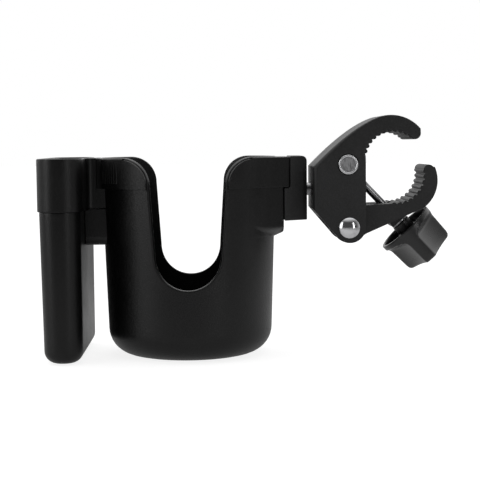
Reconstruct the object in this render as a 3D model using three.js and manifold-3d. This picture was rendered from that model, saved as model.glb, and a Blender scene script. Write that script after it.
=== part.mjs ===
// Clamp-on cup holder with a phone pocket.
// A tapered cup stands in the middle, a flat phone pocket hangs on its left shoulder, and a bracket
// on its right shoulder carries a tube clamp that swivels and closes with a swing bolt and a knob.
// Millimetres, +Z up, +X towards the clamp, origin at the centre of the cup's underside.

import * as THREE from 'three';
import { mergeVertices } from 'three/addons/utils/BufferGeometryUtils.js';
import Module from 'manifold-3d';

const wasm = await Module();
wasm.setup();

// ---------------------------------------------------------------- driving dimensions

const GAP = 0.3;                    // fitting gap between touching pieces

// cup
const CUP_HEIGHT = 104;
const CUP_BASE_RADIUS = 43;         // outer radius of the cone at the underside
const CUP_TAPER = 0.033;            // growth of the radius for each mm of height
const CUP_WALL = 2.6;
const CUP_FLOOR = 3.2;
const CUP_HEEL = 14;                // rounding between wall and underside
const SLOT_BOTTOM = 37.3;           // lowest point of the U slots
const SLOT_RADIUS = 17.3;           // round bottom of the U slots
const SLOT_HALF_TOP = 19.7;         // half width where the flare starts
const FLARE_RADIUS = 14.3;          // rounding of the shoulders
const BAND_BOTTOM = 88;             // the raised band round the shoulders
const BAND_PROUD = 1.3;
const BAND_INSET = 1;               // band edge back from the slot edge

// nose that carries the bracket, and the bracket itself
const NOSE_SLOPE = 0.667;           // how fast the half width shrinks outwards
const NOSE_X = 49.5;
const NOSE_HALF = 18.4;             // half width at NOSE_X
const NOSE_BOTTOM = 61.8;
const BAND_NOSE_X = 52.7;
const BRACKET_BOTTOM = 70.4;
const BRACKET_END = 62.2;
const BRACKET_CORNER = 2.7;

// tongue and neck that carry the pocket
const TONGUE_BOTTOM = 58.4;
const TONGUE_TOP = 77.6;
const TONGUE_END = -54;
const TONGUE_HALF = 14.6;
const NECK_HALF = 15.4;
const NECK_END = -47.8;             // neck face against the band

// phone pocket and its collar
const COLLAR = { x0: -76.1, x1: -52.9, half: 43.2, corner: 10.8, bottom: 77.2, wall: 1.6 };
const POCKET = { x0: -75.2, x1: -54.3, half: 42.1, corner: 9.6, wall: 2.2, floor: 2.4, draft: 1.1 };
const POCKET_UPPER_WALL = 1.7;      // wall of the pocket's mouth inside the collar
const POCKET_TOP = 103.5;
const POCKET_HEEL = 6.2;

// swivel between bracket and clamp
const SWIVEL_Z = 86.3;
const SWIVEL_RADIUS = 3.35;

// tube clamp
const WEB_X = 64.9;                 // outer face of the fixed jaw's web
const JAW_HALF = 19.5;              // half depth of the fixed jaw
const FLANGE = 4;                   // thickness of its side plates
const LEVER_HALF = 15.1;            // half depth of the moving jaw
const PIVOT = { x: 83.5, z: 66.4 };     // rivet that the moving jaw turns on
const PIVOT_PIN = 3;                // radius of the rivet's shank
const PIVOT_WASHER = 1;             // thickness of the washer under its tail
const DOME = { rim: 5.4, radius: 8.2, height: 2.1 };    // its head
const SPACER_RADIUS = 4.3;          // sleeve between shank and moving jaw
const BARREL = { x: 83, z: 99.3 };      // barrel nut
const BARREL_RADIUS = 5.15;
const FIXED_ARC = { x: 106.4, z: 101.9, radius: 14.9 };
const MOVING_ARC = { x: 108.3, z: 93.6, radius: 15.3 };
const TOOTH_PITCH = 3;
const TOOTH_DEPTH = 0.9;

// swing bolt and knob, along an axis that leaves the barrel nut downwards to the right
const BOLT_ANGLE = THREE.MathUtils.degToRad(46.6);
const BOLT_RADIUS = 2;
const BOLT_TAIL = 2.6;              // bolt end beyond the barrel's centre
const SADDLE_AT = 40.4;             // distance from the barrel's centre to the saddle's centre
const SADDLE_RADIUS = 5;
const SADDLE_FLAT = 1.2;            // its flat side beyond its centre
const KNOB_AT = 46.4;               // distance to the open end of the knob
const KNOB_HEIGHT = 20.8;
const KNOB_RADIUS = 15.9;
const KNOB_LOBES = 3;
const KNOB_PHASE = THREE.MathUtils.degToRad(39.5);     // where one of the lobes stands at rest
const KNOB_CROWN = 2;               // rounding of the closed end
const KNOB_WALL = 2.1;
const FLUTE_RADIUS = 51;
const FLUTE_CENTRE = 60.3;          // distance of a flute circle's centre from the axis
const HUB_RADIUS = 5;

// ---------------------------------------------------------------- geometry helpers

// A closed three.js geometry as a manifold solid.
function solid(geometry) {
  const bare = geometry.clone();
  bare.deleteAttribute('normal');
  bare.deleteAttribute('uv');
  const merged = mergeVertices(bare, 1e-4);
  return new wasm.Manifold(new wasm.Mesh({
    numProp: 3,
    vertProperties: new Float32Array(merged.attributes.position.array),
    triVerts: new Uint32Array(merged.index.array),
  }));
}

// A manifold solid back as a three.js geometry.
function geometryOf(body) {
  const mesh = body.getMesh();
  const geometry = new THREE.BufferGeometry();
  geometry.setAttribute('position', new THREE.BufferAttribute(new Float32Array(mesh.vertProperties), 3));
  geometry.setIndex(new THREE.BufferAttribute(new Uint32Array(mesh.triVerts), 1));
  return geometry;
}

function block(x0, x1, y0, y1, z0, z1) {
  const geometry = new THREE.BoxGeometry(x1 - x0, y1 - y0, z1 - z0);
  geometry.translate((x0 + x1) / 2, (y0 + y1) / 2, (z0 + z1) / 2);
  return solid(geometry);
}

// A cylinder along 'x', 'y' or 'z' between two stations; at = the two other coordinates in order.
function rod(axis, from, to, at, radius, sides = 32) {
  const geometry = new THREE.CylinderGeometry(radius, radius, to - from, sides);
  const middle = (from + to) / 2;
  if (axis === 'x') {
    geometry.rotateZ(Math.PI / 2);
    geometry.translate(middle, at[0], at[1]);
  } else if (axis === 'y') {
    geometry.translate(at[0], middle, at[1]);
  } else {
    geometry.rotateX(Math.PI / 2);
    geometry.translate(at[0], at[1], middle);
  }
  return solid(geometry);
}

// A profile of [radius, height] points turned about the Z axis.
function turned(points, sides = 60) {
  const profile = points.map(([radius, height]) => new THREE.Vector2(radius, height));
  const geometry = new THREE.LatheGeometry(profile, sides);
  geometry.rotateX(Math.PI / 2);
  return solid(geometry);
}

function extruded(shape, depth, curveSegments) {
  return new THREE.ExtrudeGeometry(shape, { depth, bevelEnabled: false, curveSegments });
}

// An outline drawn in X and Z, given depth along Y.
function plateXZ(shape, y0, y1, curveSegments = 12) {
  const geometry = extruded(shape, y1 - y0, curveSegments);
  geometry.rotateX(Math.PI / 2);
  geometry.translate(0, y1, 0);
  return solid(geometry);
}

// An outline drawn in X and Y, given height along Z.
function plateXY(shape, z0, z1, curveSegments = 8) {
  const geometry = extruded(shape, z1 - z0, curveSegments);
  geometry.translate(0, 0, z0);
  return solid(geometry);
}

// An outline drawn in Y and Z, given length along X.
function plateYZ(shape, x0, x1, curveSegments = 8) {
  const geometry = extruded(shape, x1 - x0, curveSegments);
  geometry.rotateX(Math.PI / 2);
  geometry.rotateZ(Math.PI / 2);
  geometry.translate(x0, 0, 0);
  return solid(geometry);
}

function polygon(points) {
  return new THREE.Shape(points.map(([a, b]) => new THREE.Vector2(a, b)));
}

function roundedRect(x0, x1, half, corner) {
  const shape = new THREE.Shape();
  shape.moveTo(x0 + corner, -half);
  shape.lineTo(x1 - corner, -half);
  shape.absarc(x1 - corner, -half + corner, corner, -Math.PI / 2, 0);
  shape.absarc(x1 - corner, half - corner, corner, 0, Math.PI / 2);
  shape.absarc(x0 + corner, half - corner, corner, Math.PI / 2, Math.PI);
  shape.absarc(x0 + corner, -half + corner, corner, Math.PI, 1.5 * Math.PI);
  return shape;
}

// Points of an arc about (a, b), from one angle to another in degrees.
function arc(a, b, radius, from, to, steps = 6) {
  const points = [];
  for (let i = 0; i <= steps; i += 1) {
    const angle = THREE.MathUtils.degToRad(from + (to - from) * i / steps);
    points.push([a + radius * Math.cos(angle), b + radius * Math.sin(angle)]);
  }
  return points;
}

const root = new THREE.Group();

function add(parent, name, body, colour, roughness, metalness) {
  const material = new THREE.MeshStandardMaterial({ color: colour, roughness, metalness });
  const mesh = new THREE.Mesh(geometryOf(body), material);
  mesh.name = name;
  parent.add(mesh);
  return mesh;
}

const plastic = (parent, name, body) => add(parent, name, body, 0x141414, 0.55, 0);
const steel = (parent, name, body) => add(parent, name, body, 0xb9bcc0, 0.25, 1);
const darkSteel = (parent, name, body) => add(parent, name, body, 0x4a4c50, 0.35, 1);
const nylon = (parent, name, body) => add(parent, name, body, 0xd8d5c8, 0.5, 0);

// ---------------------------------------------------------------- cup

const cupRadius = (z) => CUP_BASE_RADIUS + CUP_TAPER * z;

// The cone of the cup, grown outwards by `grow`, as a solid without its hollow.
function cupEnvelope(grow, top) {
  const heelRadius = CUP_HEEL + grow;
  return turned([
    [0, -grow],
    ...arc(cupRadius(CUP_HEEL) - CUP_HEEL, CUP_HEEL, heelRadius, -90, 0, 8),
    [cupRadius(top) + grow, top],
    [0, top],
  ]);
}

// The hollow of the cup.
function cupHollow() {
  const corner = CUP_HEEL - CUP_WALL;
  const height = CUP_HEEL + 0.6;
  return turned([
    [0, CUP_FLOOR],
    ...arc(cupRadius(height) - CUP_WALL - corner, CUP_FLOOR + corner, corner, -90, 0, 6),
    [cupRadius(CUP_HEIGHT) - CUP_WALL, CUP_HEIGHT],
    [cupRadius(CUP_HEIGHT) - CUP_WALL, CUP_HEIGHT + 5],
    [0, CUP_HEIGHT + 5],
  ]);
}

// The U slot with flared shoulders, in X and Z; grow widens it on every side.
function slotOutline(grow) {
  const shape = new THREE.Shape();
  const centre = SLOT_BOTTOM + SLOT_RADIUS;
  const flare = CUP_HEIGHT - FLARE_RADIUS;
  const half = SLOT_HALF_TOP + grow;
  const rim = half + FLARE_RADIUS - grow;
  shape.moveTo(-rim, CUP_HEIGHT + 6);
  shape.lineTo(-rim, CUP_HEIGHT);
  shape.absarc(-rim, flare, FLARE_RADIUS - grow, Math.PI / 2, 0, true);
  shape.absarc(0, centre, SLOT_RADIUS + grow, Math.PI, 2 * Math.PI, false);
  shape.absarc(rim, flare, FLARE_RADIUS - grow, Math.PI, Math.PI / 2, true);
  shape.lineTo(rim, CUP_HEIGHT + 6);
  return shape;
}

// Plan of the nose on one side: it leaves the cup's wall and narrows outwards.
function nosePlan(side, x0, x1, proud) {
  const half = (x) => NOSE_HALF + proud * 1.2 - NOSE_SLOPE * (x - NOSE_X);
  return polygon([
    [side * x0, -half(x0)],
    [side * x1, -half(x1)],
    [side * x1, half(x1)],
    [side * x0, half(x0)],
  ]);
}

// A lug that narrows by `shrink` on each side over the lowest `rise` of its height.
function lugOutline(half, bottom, top, shrink, rise) {
  return polygon([
    [-half, bottom + rise], [shrink - half, bottom], [half - shrink, bottom],
    [half, bottom + rise], [half, top], [-half, top],
  ]);
}

const SCREW_RADIUS = 1.6;
const SCREW_HEAD = { radius: 3.3, height: 2 };
const BRACKET_SCREWS = [{ name: 'upper', z: 98 }, { name: 'lower', z: 74.6 }];
const COLLAR_SCREWS = [{ name: 'upper', z: 98 }, { name: 'lower', z: 83.5 }];
const screwSeat = (z) => cupRadius(z) - CUP_WALL + 1.9;    // floor of the screw head's recess

function cupBody() {
  let body = cupEnvelope(0, CUP_HEIGHT);
  const band = cupEnvelope(BAND_PROUD, CUP_HEIGHT)
    .subtract(block(-70, 70, -70, 70, -5, BAND_BOTTOM))
    .add(plateXY(nosePlan(1, 30, BAND_NOSE_X, BAND_PROUD), BAND_BOTTOM, CUP_HEIGHT))
    .add(plateXY(nosePlan(-1, 30, -NECK_END - GAP, BAND_PROUD), BAND_BOTTOM, CUP_HEIGHT))
    .subtract(plateXZ(slotOutline(BAND_INSET), -70, 70));
  const nose = plateXY(nosePlan(1, 30, NOSE_X, 0), NOSE_BOTTOM, BAND_BOTTOM)
    .intersect(plateYZ(lugOutline(24, NOSE_BOTTOM, BAND_BOTTOM, 17, 9), 30, NOSE_X));
  const tongue = plateYZ(lugOutline(TONGUE_HALF, TONGUE_BOTTOM, TONGUE_TOP, 5, 5), TONGUE_END, -36)
    .subtract(block(-60, COLLAR.x1 + GAP, -30, 30, COLLAR.bottom - GAP, TONGUE_TOP + 1));
  body = body.add(band).add(nose).add(tongue).subtract(cupHollow());
  body = body.subtract(plateXZ(slotOutline(0), -70, 70));
  for (const { z } of BRACKET_SCREWS) {
    body = body.subtract(rod('x', 30, 60, [0, z], SCREW_RADIUS + GAP, 20));
    body = body.subtract(rod('x', 30, screwSeat(z), [0, z], SCREW_HEAD.radius + GAP, 24));
  }
  for (const { z } of COLLAR_SCREWS) {
    body = body.subtract(rod('x', -60, -30, [0, z], SCREW_RADIUS + GAP, 20));
    body = body.subtract(rod('x', -screwSeat(z), -30, [0, z], SCREW_HEAD.radius + GAP, 24));
  }
  const tailRoom = block(cupRadius(SWIVEL_Z) + 0.2, 60, -6.5, 6.5, SWIVEL_Z - 6.5, SWIVEL_Z + 6.5);
  return body.subtract(tailRoom);
}
plastic(root, 'cup_body', cupBody());

// A self-tapping screw along X, driven from inside the cup; side 1 points to the clamp.
function wallScrew(side, z, length) {
  const seat = screwSeat(z) - GAP;
  const ordered = (a, b) => (side > 0 ? [a, b] : [-b, -a]);
  const [headFrom, headTo] = ordered(seat - SCREW_HEAD.height, seat);
  const [shankFrom, shankTo] = ordered(seat - 0.5, seat + length);
  const [recessFrom, recessTo] = ordered(seat - SCREW_HEAD.height - 1, seat - SCREW_HEAD.height + 0.9);
  const cross = block(recessFrom, recessTo, -1.9, 1.9, z - 0.45, z + 0.45)
    .add(block(recessFrom, recessTo, -0.45, 0.45, z - 1.9, z + 1.9));
  return rod('x', headFrom, headTo, [0, z], SCREW_HEAD.radius, 24)
    .add(rod('x', shankFrom, shankTo, [0, z], SCREW_RADIUS, 16))
    .subtract(cross);
}
for (const { name, z } of BRACKET_SCREWS) {
  darkSteel(root, `bracket_screw_${name}`, wallScrew(1, z, 11));
}
for (const { name, z } of COLLAR_SCREWS) {
  darkSteel(root, `collar_screw_${name}`, wallScrew(-1, z, 7.5));
}

// ---------------------------------------------------------------- phone pocket

// Snap beads on the broad faces hold the pocket in its collar.
const SNAP = { y: 24, half: 6, z: 94, height: 3, proud: 0.5 };

function snapBlocks(x0, x1, grow) {
  const beads = [-SNAP.y, SNAP.y].map((y) => block(x0, x1, y - SNAP.half - grow, y + SNAP.half + grow,
    SNAP.z - grow, SNAP.z + SNAP.height + grow));
  return beads[0].add(beads[1]);
}

function pocketCollar() {
  const { x0, x1, half, corner, bottom, wall } = COLLAR;
  const neck = block(x1 - 0.8, NECK_END, -NECK_HALF, NECK_HALF, TONGUE_TOP + GAP, CUP_HEIGHT - 0.1)
    .add(block(x1 - 0.8, -44, -NECK_HALF, NECK_HALF, TONGUE_TOP + GAP, BAND_BOTTOM - GAP))
    .subtract(cupEnvelope(GAP, BAND_BOTTOM + 1));
  const inside = roundedRect(x0 + wall, x1 - wall, half - wall, corner - wall);
  const hole = plateXY(inside, bottom - 1, CUP_HEIGHT + 1);
  let body = plateXY(roundedRect(x0, x1, half, corner), bottom, CUP_HEIGHT)
    .add(neck)
    .subtract(hole)
    .subtract(snapBlocks(x0 + wall - 0.9, x1 - wall + 0.9, 0.4));
  for (const { z } of COLLAR_SCREWS) {
    body = body.subtract(rod('x', -53.6, -40, [0, z], SCREW_RADIUS + GAP, 20));
  }
  return body;
}
plastic(root, 'pocket_collar', pocketCollar());

// A front or side outline that narrows towards the floor and has rounded heels.
function heeledOutline(bottomLeft, bottomRight, topLeft, topRight, bottom, top, heel) {
  const shape = new THREE.Shape();
  shape.moveTo(topLeft, top);
  shape.lineTo(bottomLeft, bottom + heel);
  shape.absarc(bottomLeft + heel, bottom + heel, heel, Math.PI, 1.5 * Math.PI);
  shape.absarc(bottomRight - heel, bottom + heel, heel, 1.5 * Math.PI, 2 * Math.PI);
  shape.lineTo(topRight, top);
  return shape;
}

// The pocket's outer form (inset 0) or its hollow (inset = wall), up to a height.
function pocketForm(inset, bottom, top) {
  const { x0, x1, half, corner, draft } = POCKET;
  const heel = POCKET_HEEL - inset;
  const left = x0 + inset;
  const right = x1 - inset;
  const depth = half - inset;
  const plan = plateXY(roundedRect(left, right, depth, corner - inset), bottom, top);
  const frontOutline = heeledOutline(left + draft, right, left, right, bottom, top, heel);
  const sideOutline = heeledOutline(draft - depth, depth - draft, -depth, depth, bottom, top, heel);
  return plan
    .intersect(plateXZ(frontOutline, -60, 60, 6))
    .intersect(plateYZ(sideOutline, -90, -40, 6));
}

function phonePocket() {
  const shoulder = COLLAR.bottom - GAP;
  // the collar's outline, drawn in by an amount
  const within = (inset) => roundedRect(COLLAR.x0 + inset, COLLAR.x1 - inset, COLLAR.half - inset,
    COLLAR.corner - inset);
  const inside = COLLAR.wall + GAP;
  const outer = pocketForm(0, 0, shoulder)
    .add(plateXY(within(inside), shoulder - 3, POCKET_TOP))
    .add(snapBlocks(COLLAR.x0 + inside - SNAP.proud, COLLAR.x1 - inside + SNAP.proud, 0));
  const mouth = plateXY(within(inside + POCKET_UPPER_WALL), shoulder - 8, POCKET_TOP + 1);
  const lower = pocketForm(POCKET.wall, POCKET.floor, shoulder - 4);
  return outer.subtract(mouth).subtract(lower);
}
plastic(root, 'phone_pocket', phonePocket());

// ---------------------------------------------------------------- bracket and swivel

const WASHER = 1.2;
const NUT_HEIGHT = 4.6;
const WALL_IN = BRACKET_END - 4;                       // inner face of the bracket's end wall
const SPRING_AT = WALL_IN - GAP - 1;
const TAIL_WASHER_AT = SPRING_AT - GAP - WASHER;
const NUT_AT = TAIL_WASHER_AT - GAP - NUT_HEIGHT;

function clampBracket() {
  const front = new THREE.Shape();
  front.moveTo(NOSE_X + GAP, BRACKET_BOTTOM);
  front.lineTo(BRACKET_END, BRACKET_BOTTOM);
  front.absarc(BRACKET_END - BRACKET_CORNER, CUP_HEIGHT - BRACKET_CORNER, BRACKET_CORNER, 0, Math.PI / 2);
  front.lineTo(BAND_NOSE_X + GAP, CUP_HEIGHT);
  front.lineTo(BAND_NOSE_X + GAP, BAND_BOTTOM - GAP);
  front.lineTo(NOSE_X + GAP, BAND_BOTTOM - GAP);
  let body = plateXZ(front, -30, 30)
    .intersect(plateXY(nosePlan(1, 45, 65, 0), BRACKET_BOTTOM - 1, CUP_HEIGHT + 1));
  body = body.subtract(block(40, WALL_IN, -7.6, 7.6, SWIVEL_Z - 7.6, SWIVEL_Z + 7.6));
  for (const { z } of BRACKET_SCREWS) {
    body = body.subtract(rod('x', 40, 57, [0, z], SCREW_RADIUS + GAP, 20));
  }
  return body.subtract(rod('x', 40, 70, [0, SWIVEL_Z], SWIVEL_RADIUS + GAP, 32));
}
plastic(root, 'clamp_bracket', clampBracket());

const clamp = new THREE.Group();                       // everything that turns on the swivel
root.add(clamp);

const WEB_IN = WEB_X + 4;                              // inner face of the fixed jaw's web

function ring(from, to, outer, inner, sides = 32) {
  return rod('x', from, to, [0, SWIVEL_Z], outer, sides)
    .subtract(rod('x', from - 1, to + 1, [0, SWIVEL_Z], inner, sides));
}

function swivelBolt() {
  return rod('x', NUT_AT - 0.6, WEB_IN + GAP + 0.5, [0, SWIVEL_Z], 3, 32)
    .add(rod('x', WALL_IN + 0.2, WEB_IN + GAP + 0.5, [0, SWIVEL_Z], SWIVEL_RADIUS, 32))
    .add(rod('x', WEB_IN + GAP, WEB_IN + GAP + 4, [0, SWIVEL_Z], 5.6, 6));
}
steel(clamp, 'swivel_bolt', swivelBolt());
steel(root, 'swivel_spring_washer', ring(SPRING_AT, SPRING_AT + 1, 5.8, 3.6));
steel(clamp, 'swivel_washer', ring(TAIL_WASHER_AT, TAIL_WASHER_AT + WASHER, 6.2, 3.3));
darkSteel(clamp, 'swivel_nut', rod('x', NUT_AT, NUT_AT + NUT_HEIGHT, [0, SWIVEL_Z], 5.8, 6)
  .subtract(rod('x', NUT_AT - 1, NUT_AT + NUT_HEIGHT + 1, [0, SWIVEL_Z], 3.3, 32)));

// ---------------------------------------------------------------- fixed jaw

// Points of a toothed arc about a centre, from one angle to another in degrees, as scallops whose
// crests stand TOOTH_DEPTH inside the radius.
function toothedArc(centre, from, to) {
  const sweep = THREE.MathUtils.degToRad(to - from);
  const teeth = Math.round(Math.abs(sweep) * centre.radius / TOOTH_PITCH);
  const perTooth = 6;
  const points = [];
  for (let i = 0; i <= teeth * perTooth; i += 1) {
    const angle = THREE.MathUtils.degToRad(from) + sweep * i / (teeth * perTooth);
    const phase = Math.abs(Math.sin(Math.PI * i / perTooth));
    const radius = centre.radius - TOOTH_DEPTH * (1 - phase);
    points.push([centre.x + radius * Math.cos(angle), centre.z + radius * Math.sin(angle)]);
  }
  return points;
}

function fixedJawOutline() {
  const shoulder = { x: 97, z: 123 };                  // where the arm's back meets the tip's arc
  const back = new THREE.QuadraticBezierCurve(new THREE.Vector2(65.6, 99.1),
    new THREE.Vector2(83.8, 117.6), new THREE.Vector2(shoulder.x, shoulder.z));
  return polygon([
    [WEB_X, 76.2],
    [WEB_X, 98.2],
    ...back.getPoints(12).map((point) => [point.x, point.y]),
    ...arc(105, 104.5, 20.2, 106, 40, 9),
    ...arc(117.5, 115.1, 3.1, 5, -125, 6),
    ...toothedArc(FIXED_ARC, 50, 168),
    [92.1, 103.6],
    ...arc(PIVOT.x + 0.3, PIVOT.z + 0.4, 8.3, 0, -138, 10),
  ]);
}

// The hollow between the side plates: open to the right and below, closed by the web on the left,
// by the back of the arm above and by the toothed wall round the tube.
function fixedJawHollow() {
  return polygon([
    [WEB_IN, 60],
    [WEB_IN, 96.6],
    ...new THREE.QuadraticBezierCurve(new THREE.Vector2(WEB_IN, 97.4), new THREE.Vector2(82.6, 114.2),
      new THREE.Vector2(96.3, 118.6)).getPoints(8).map((point) => [point.x, point.y]),
    ...arc(FIXED_ARC.x, FIXED_ARC.z, FIXED_ARC.radius + 2.8, 122, 172, 6),
    [88.6, 101.6],
    [130, 101.6],
    [130, 40],
    [60, 40],
    [60, 60],
  ]);
}

function fixedJaw() {
  const inner = JAW_HALF - FLANGE;
  return plateXZ(fixedJawOutline(), -JAW_HALF, JAW_HALF)
    .subtract(plateXZ(fixedJawHollow(), -inner, inner))
    .subtract(rod('x', 60, 75, [0, SWIVEL_Z], SWIVEL_RADIUS + GAP, 32))
    .subtract(rod('y', -30, 30, [BARREL.x, BARREL.z], BARREL_RADIUS + 0.4, 40))
    .subtract(rod('y', -30, 30, [PIVOT.x, PIVOT.z], PIVOT_PIN + GAP, 32));
}
plastic(clamp, 'fixed_jaw', fixedJaw());

// Domed rivet: a dome at the front, a formed tail over a washer at the rear.
function pivotRivet() {
  const head = JAW_HALF + GAP;
  const tail = JAW_HALF + GAP + PIVOT_WASHER + GAP;
  const rise = Math.asin(DOME.rim / DOME.radius);
  const dome = Array.from({ length: 7 }, (_, i) => {
    const angle = rise * (1 - i / 6);
    return [DOME.radius * Math.sin(angle), head + DOME.height - DOME.radius * (1 - Math.cos(angle))];
  });
  const body = turned([
    [0, -tail - 1.4], [3.4, -tail - 1.4], [4.3, -tail - 0.9], [4.3, -tail], [PIVOT_PIN, -tail],
    [PIVOT_PIN, head], [DOME.rim, head], ...dome,
  ], 40);
  return body.rotate([90, 0, 0]).translate([PIVOT.x, 0, PIVOT.z]);
}
steel(clamp, 'pivot_rivet', pivotRivet());

function pivotRing(from, to, outer, inner) {
  const at = [PIVOT.x, PIVOT.z];
  return rod('y', from, to, at, outer, 32).subtract(rod('y', from - 1, to + 1, at, inner, 32));
}
steel(clamp, 'pivot_washer', pivotRing(JAW_HALF + GAP, JAW_HALF + GAP + PIVOT_WASHER, 6, PIVOT_PIN + GAP));
nylon(clamp, 'pivot_spacer', pivotRing(-LEVER_HALF, LEVER_HALF, SPACER_RADIUS, PIVOT_PIN + GAP));

// ---------------------------------------------------------------- moving jaw

const boltDirection = { x: Math.cos(BOLT_ANGLE), z: -Math.sin(BOLT_ANGLE) };
const alongBolt = (distance) => ({
  x: BARREL.x + boltDirection.x * distance,
  z: BARREL.z + boltDirection.z * distance,
});

function movingJawOutline() {
  return polygon([
    ...arc(PIVOT.x, PIVOT.z, 8, 110, 294, 12),
    [92.7, 63],
    ...arc(112.5, 90.5, 17.7, -54, 24, 10),
    ...arc(125.6, 96, 2.8, 20, 170, 6),
    ...toothedArc(MOVING_ARC, 11, -97),
    [105.2, 78.5],
    [93.1, 77.9],
  ]);
}

// The bolt's slot through the moving jaw: a fan about the saddle, as wide as the bolt's swing.
function boltFan() {
  const centre = alongBolt(SADDLE_AT);
  const reach = 22;
  const spread = THREE.MathUtils.degToRad(13);
  const outward = Math.PI - BOLT_ANGLE;
  const half = BOLT_RADIUS + 0.7;
  const side = (angle, sign, distance) => [
    centre.x + distance * Math.cos(angle) - sign * half * Math.sin(angle),
    centre.z + distance * Math.sin(angle) + sign * half * Math.cos(angle),
  ];
  return polygon([
    side(outward - spread, -1, -8), side(outward - spread, -1, reach),
    side(outward + spread, 1, reach), side(outward + spread, 1, -8),
  ]);
}

function movingJaw() {
  const seat = alongBolt(SADDLE_AT);
  const rib = LEVER_HALF - 4;
  const lightening = polygon([[60, 40], [96, 66.6], [98.5, 75.2], [88, 74.6], [82, 90], [60, 90]]);
  return plateXZ(movingJawOutline(), -LEVER_HALF, LEVER_HALF)
    .subtract(plateXZ(lightening, -rib, rib))
    .subtract(plateXZ(boltFan(), -BOLT_RADIUS - 0.7, BOLT_RADIUS + 0.7))
    .subtract(rod('y', -8.4, 8.4, [seat.x, seat.z], SADDLE_RADIUS + 0.5, 40))
    .subtract(rod('y', -20, 20, [PIVOT.x, PIVOT.z], SPACER_RADIUS + GAP, 32));
}
plastic(clamp, 'moving_jaw', movingJaw());

// ---------------------------------------------------------------- swing bolt

// The group's own +Z runs from the barrel nut along the bolt to the knob.
const swing = new THREE.Group();
swing.position.set(BARREL.x, 0, BARREL.z);
swing.rotation.y = Math.PI / 2 + BOLT_ANGLE;
clamp.add(swing);

function barrelNut() {
  const length = 2 * JAW_HALF + 1;
  const body = rod('y', -length / 2, length / 2, [0, 0], BARREL_RADIUS, 40);
  const dish = rod('y', -length / 2 - 1, -length / 2 + 0.9, [0, 0], 3.7, 32)
    .add(rod('y', length / 2 - 0.9, length / 2 + 1, [0, 0], 3.7, 32));
  return body.subtract(dish).subtract(rod('z', -10, 10, [0, 0], BOLT_RADIUS + GAP, 24));
}
steel(swing, 'barrel_nut', barrelNut());

const HEAD_AT = KNOB_AT + 6;                           // inner face of the bolt's hexagon head
const HEAD_HEIGHT = 2.8;
const HEAD_CORNER = 4.04;

function clampBolt() {
  return rod('z', -BOLT_TAIL, HEAD_AT + 0.5, [0, 0], BOLT_RADIUS, 24)
    .add(rod('z', HEAD_AT, HEAD_AT + HEAD_HEIGHT, [0, 0], HEAD_CORNER, 6));
}
steel(swing, 'clamp_bolt', clampBolt());

// A half-round saddle that rocks in the moving jaw; its flat side carries the washer.
function thrustSaddle() {
  const flat = SADDLE_AT + SADDLE_FLAT;
  return rod('y', -7.9, 7.9, [0, SADDLE_AT], SADDLE_RADIUS, 40)
    .subtract(block(-10, 10, -10, 10, flat, flat + 20))
    .subtract(rod('z', 20, 60, [0, 0], BOLT_RADIUS + GAP, 24));
}
plastic(swing, 'thrust_saddle', thrustSaddle());

const WASHER_AT = SADDLE_AT + SADDLE_FLAT + GAP;
steel(swing, 'thrust_washer', rod('z', WASHER_AT, WASHER_AT + 1, [0, 0], 4.8, 32)
  .subtract(rod('z', WASHER_AT - 1, WASHER_AT + 3, [0, 0], BOLT_RADIUS + GAP, 24)));

// ---------------------------------------------------------------- knob

// Radius of the three-lobed knob at an angle about its axis and a height above its open end. Each
// flute is part of a big circle whose centre lies outside the knob; it fades out towards the open
// end, which stays round.
function knobRadius(angle, height) {
  const pitch = 2 * Math.PI / KNOB_LOBES;
  const offset = THREE.MathUtils.euclideanModulo(angle - KNOB_PHASE, pitch) - pitch / 2;
  const slant = FLUTE_CENTRE * Math.sin(offset);
  const flute = FLUTE_CENTRE * Math.cos(offset) - Math.sqrt(Math.max(FLUTE_RADIUS ** 2 - slant ** 2, 0));
  const fade = 1 - THREE.MathUtils.smoothstep(height, 1.6, 8.4);
  const share = Math.min(flute + 7.5 * fade ** 2, KNOB_RADIUS) / KNOB_RADIUS;
  const crown = Math.max(0, height - (KNOB_HEIGHT - KNOB_CROWN)) / KNOB_CROWN;
  const round = KNOB_RADIUS - 0.9 * (height / KNOB_HEIGHT) - KNOB_CROWN * (1 - Math.sqrt(1 - crown ** 2));
  return round * share;
}

// A closed solid from rings of points about the knob's axis.
function ringed(heights, radiusAt, sides) {
  const positions = [];
  const indices = [];
  for (const height of heights) {
    for (let i = 0; i < sides; i += 1) {
      const angle = 2 * Math.PI * i / sides;
      const radius = radiusAt(angle, height);
      positions.push(radius * Math.cos(angle), radius * Math.sin(angle), KNOB_AT + height);
    }
  }
  const top = positions.length / 3;
  positions.push(0, 0, KNOB_AT + heights[0], 0, 0, KNOB_AT + heights[heights.length - 1]);
  const last = (heights.length - 1) * sides;
  for (let i = 0; i < sides; i += 1) {
    const next = (i + 1) % sides;
    for (let layer = 0; layer < heights.length - 1; layer += 1) {
      const a = layer * sides;
      indices.push(a + i, a + next, a + sides + next, a + i, a + sides + next, a + sides + i);
    }
    indices.push(top, next, i, top + 1, last + i, last + next);
  }
  const geometry = new THREE.BufferGeometry();
  geometry.setAttribute('position', new THREE.Float32BufferAttribute(positions, 3));
  geometry.setIndex(indices);
  return solid(geometry);
}

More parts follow.
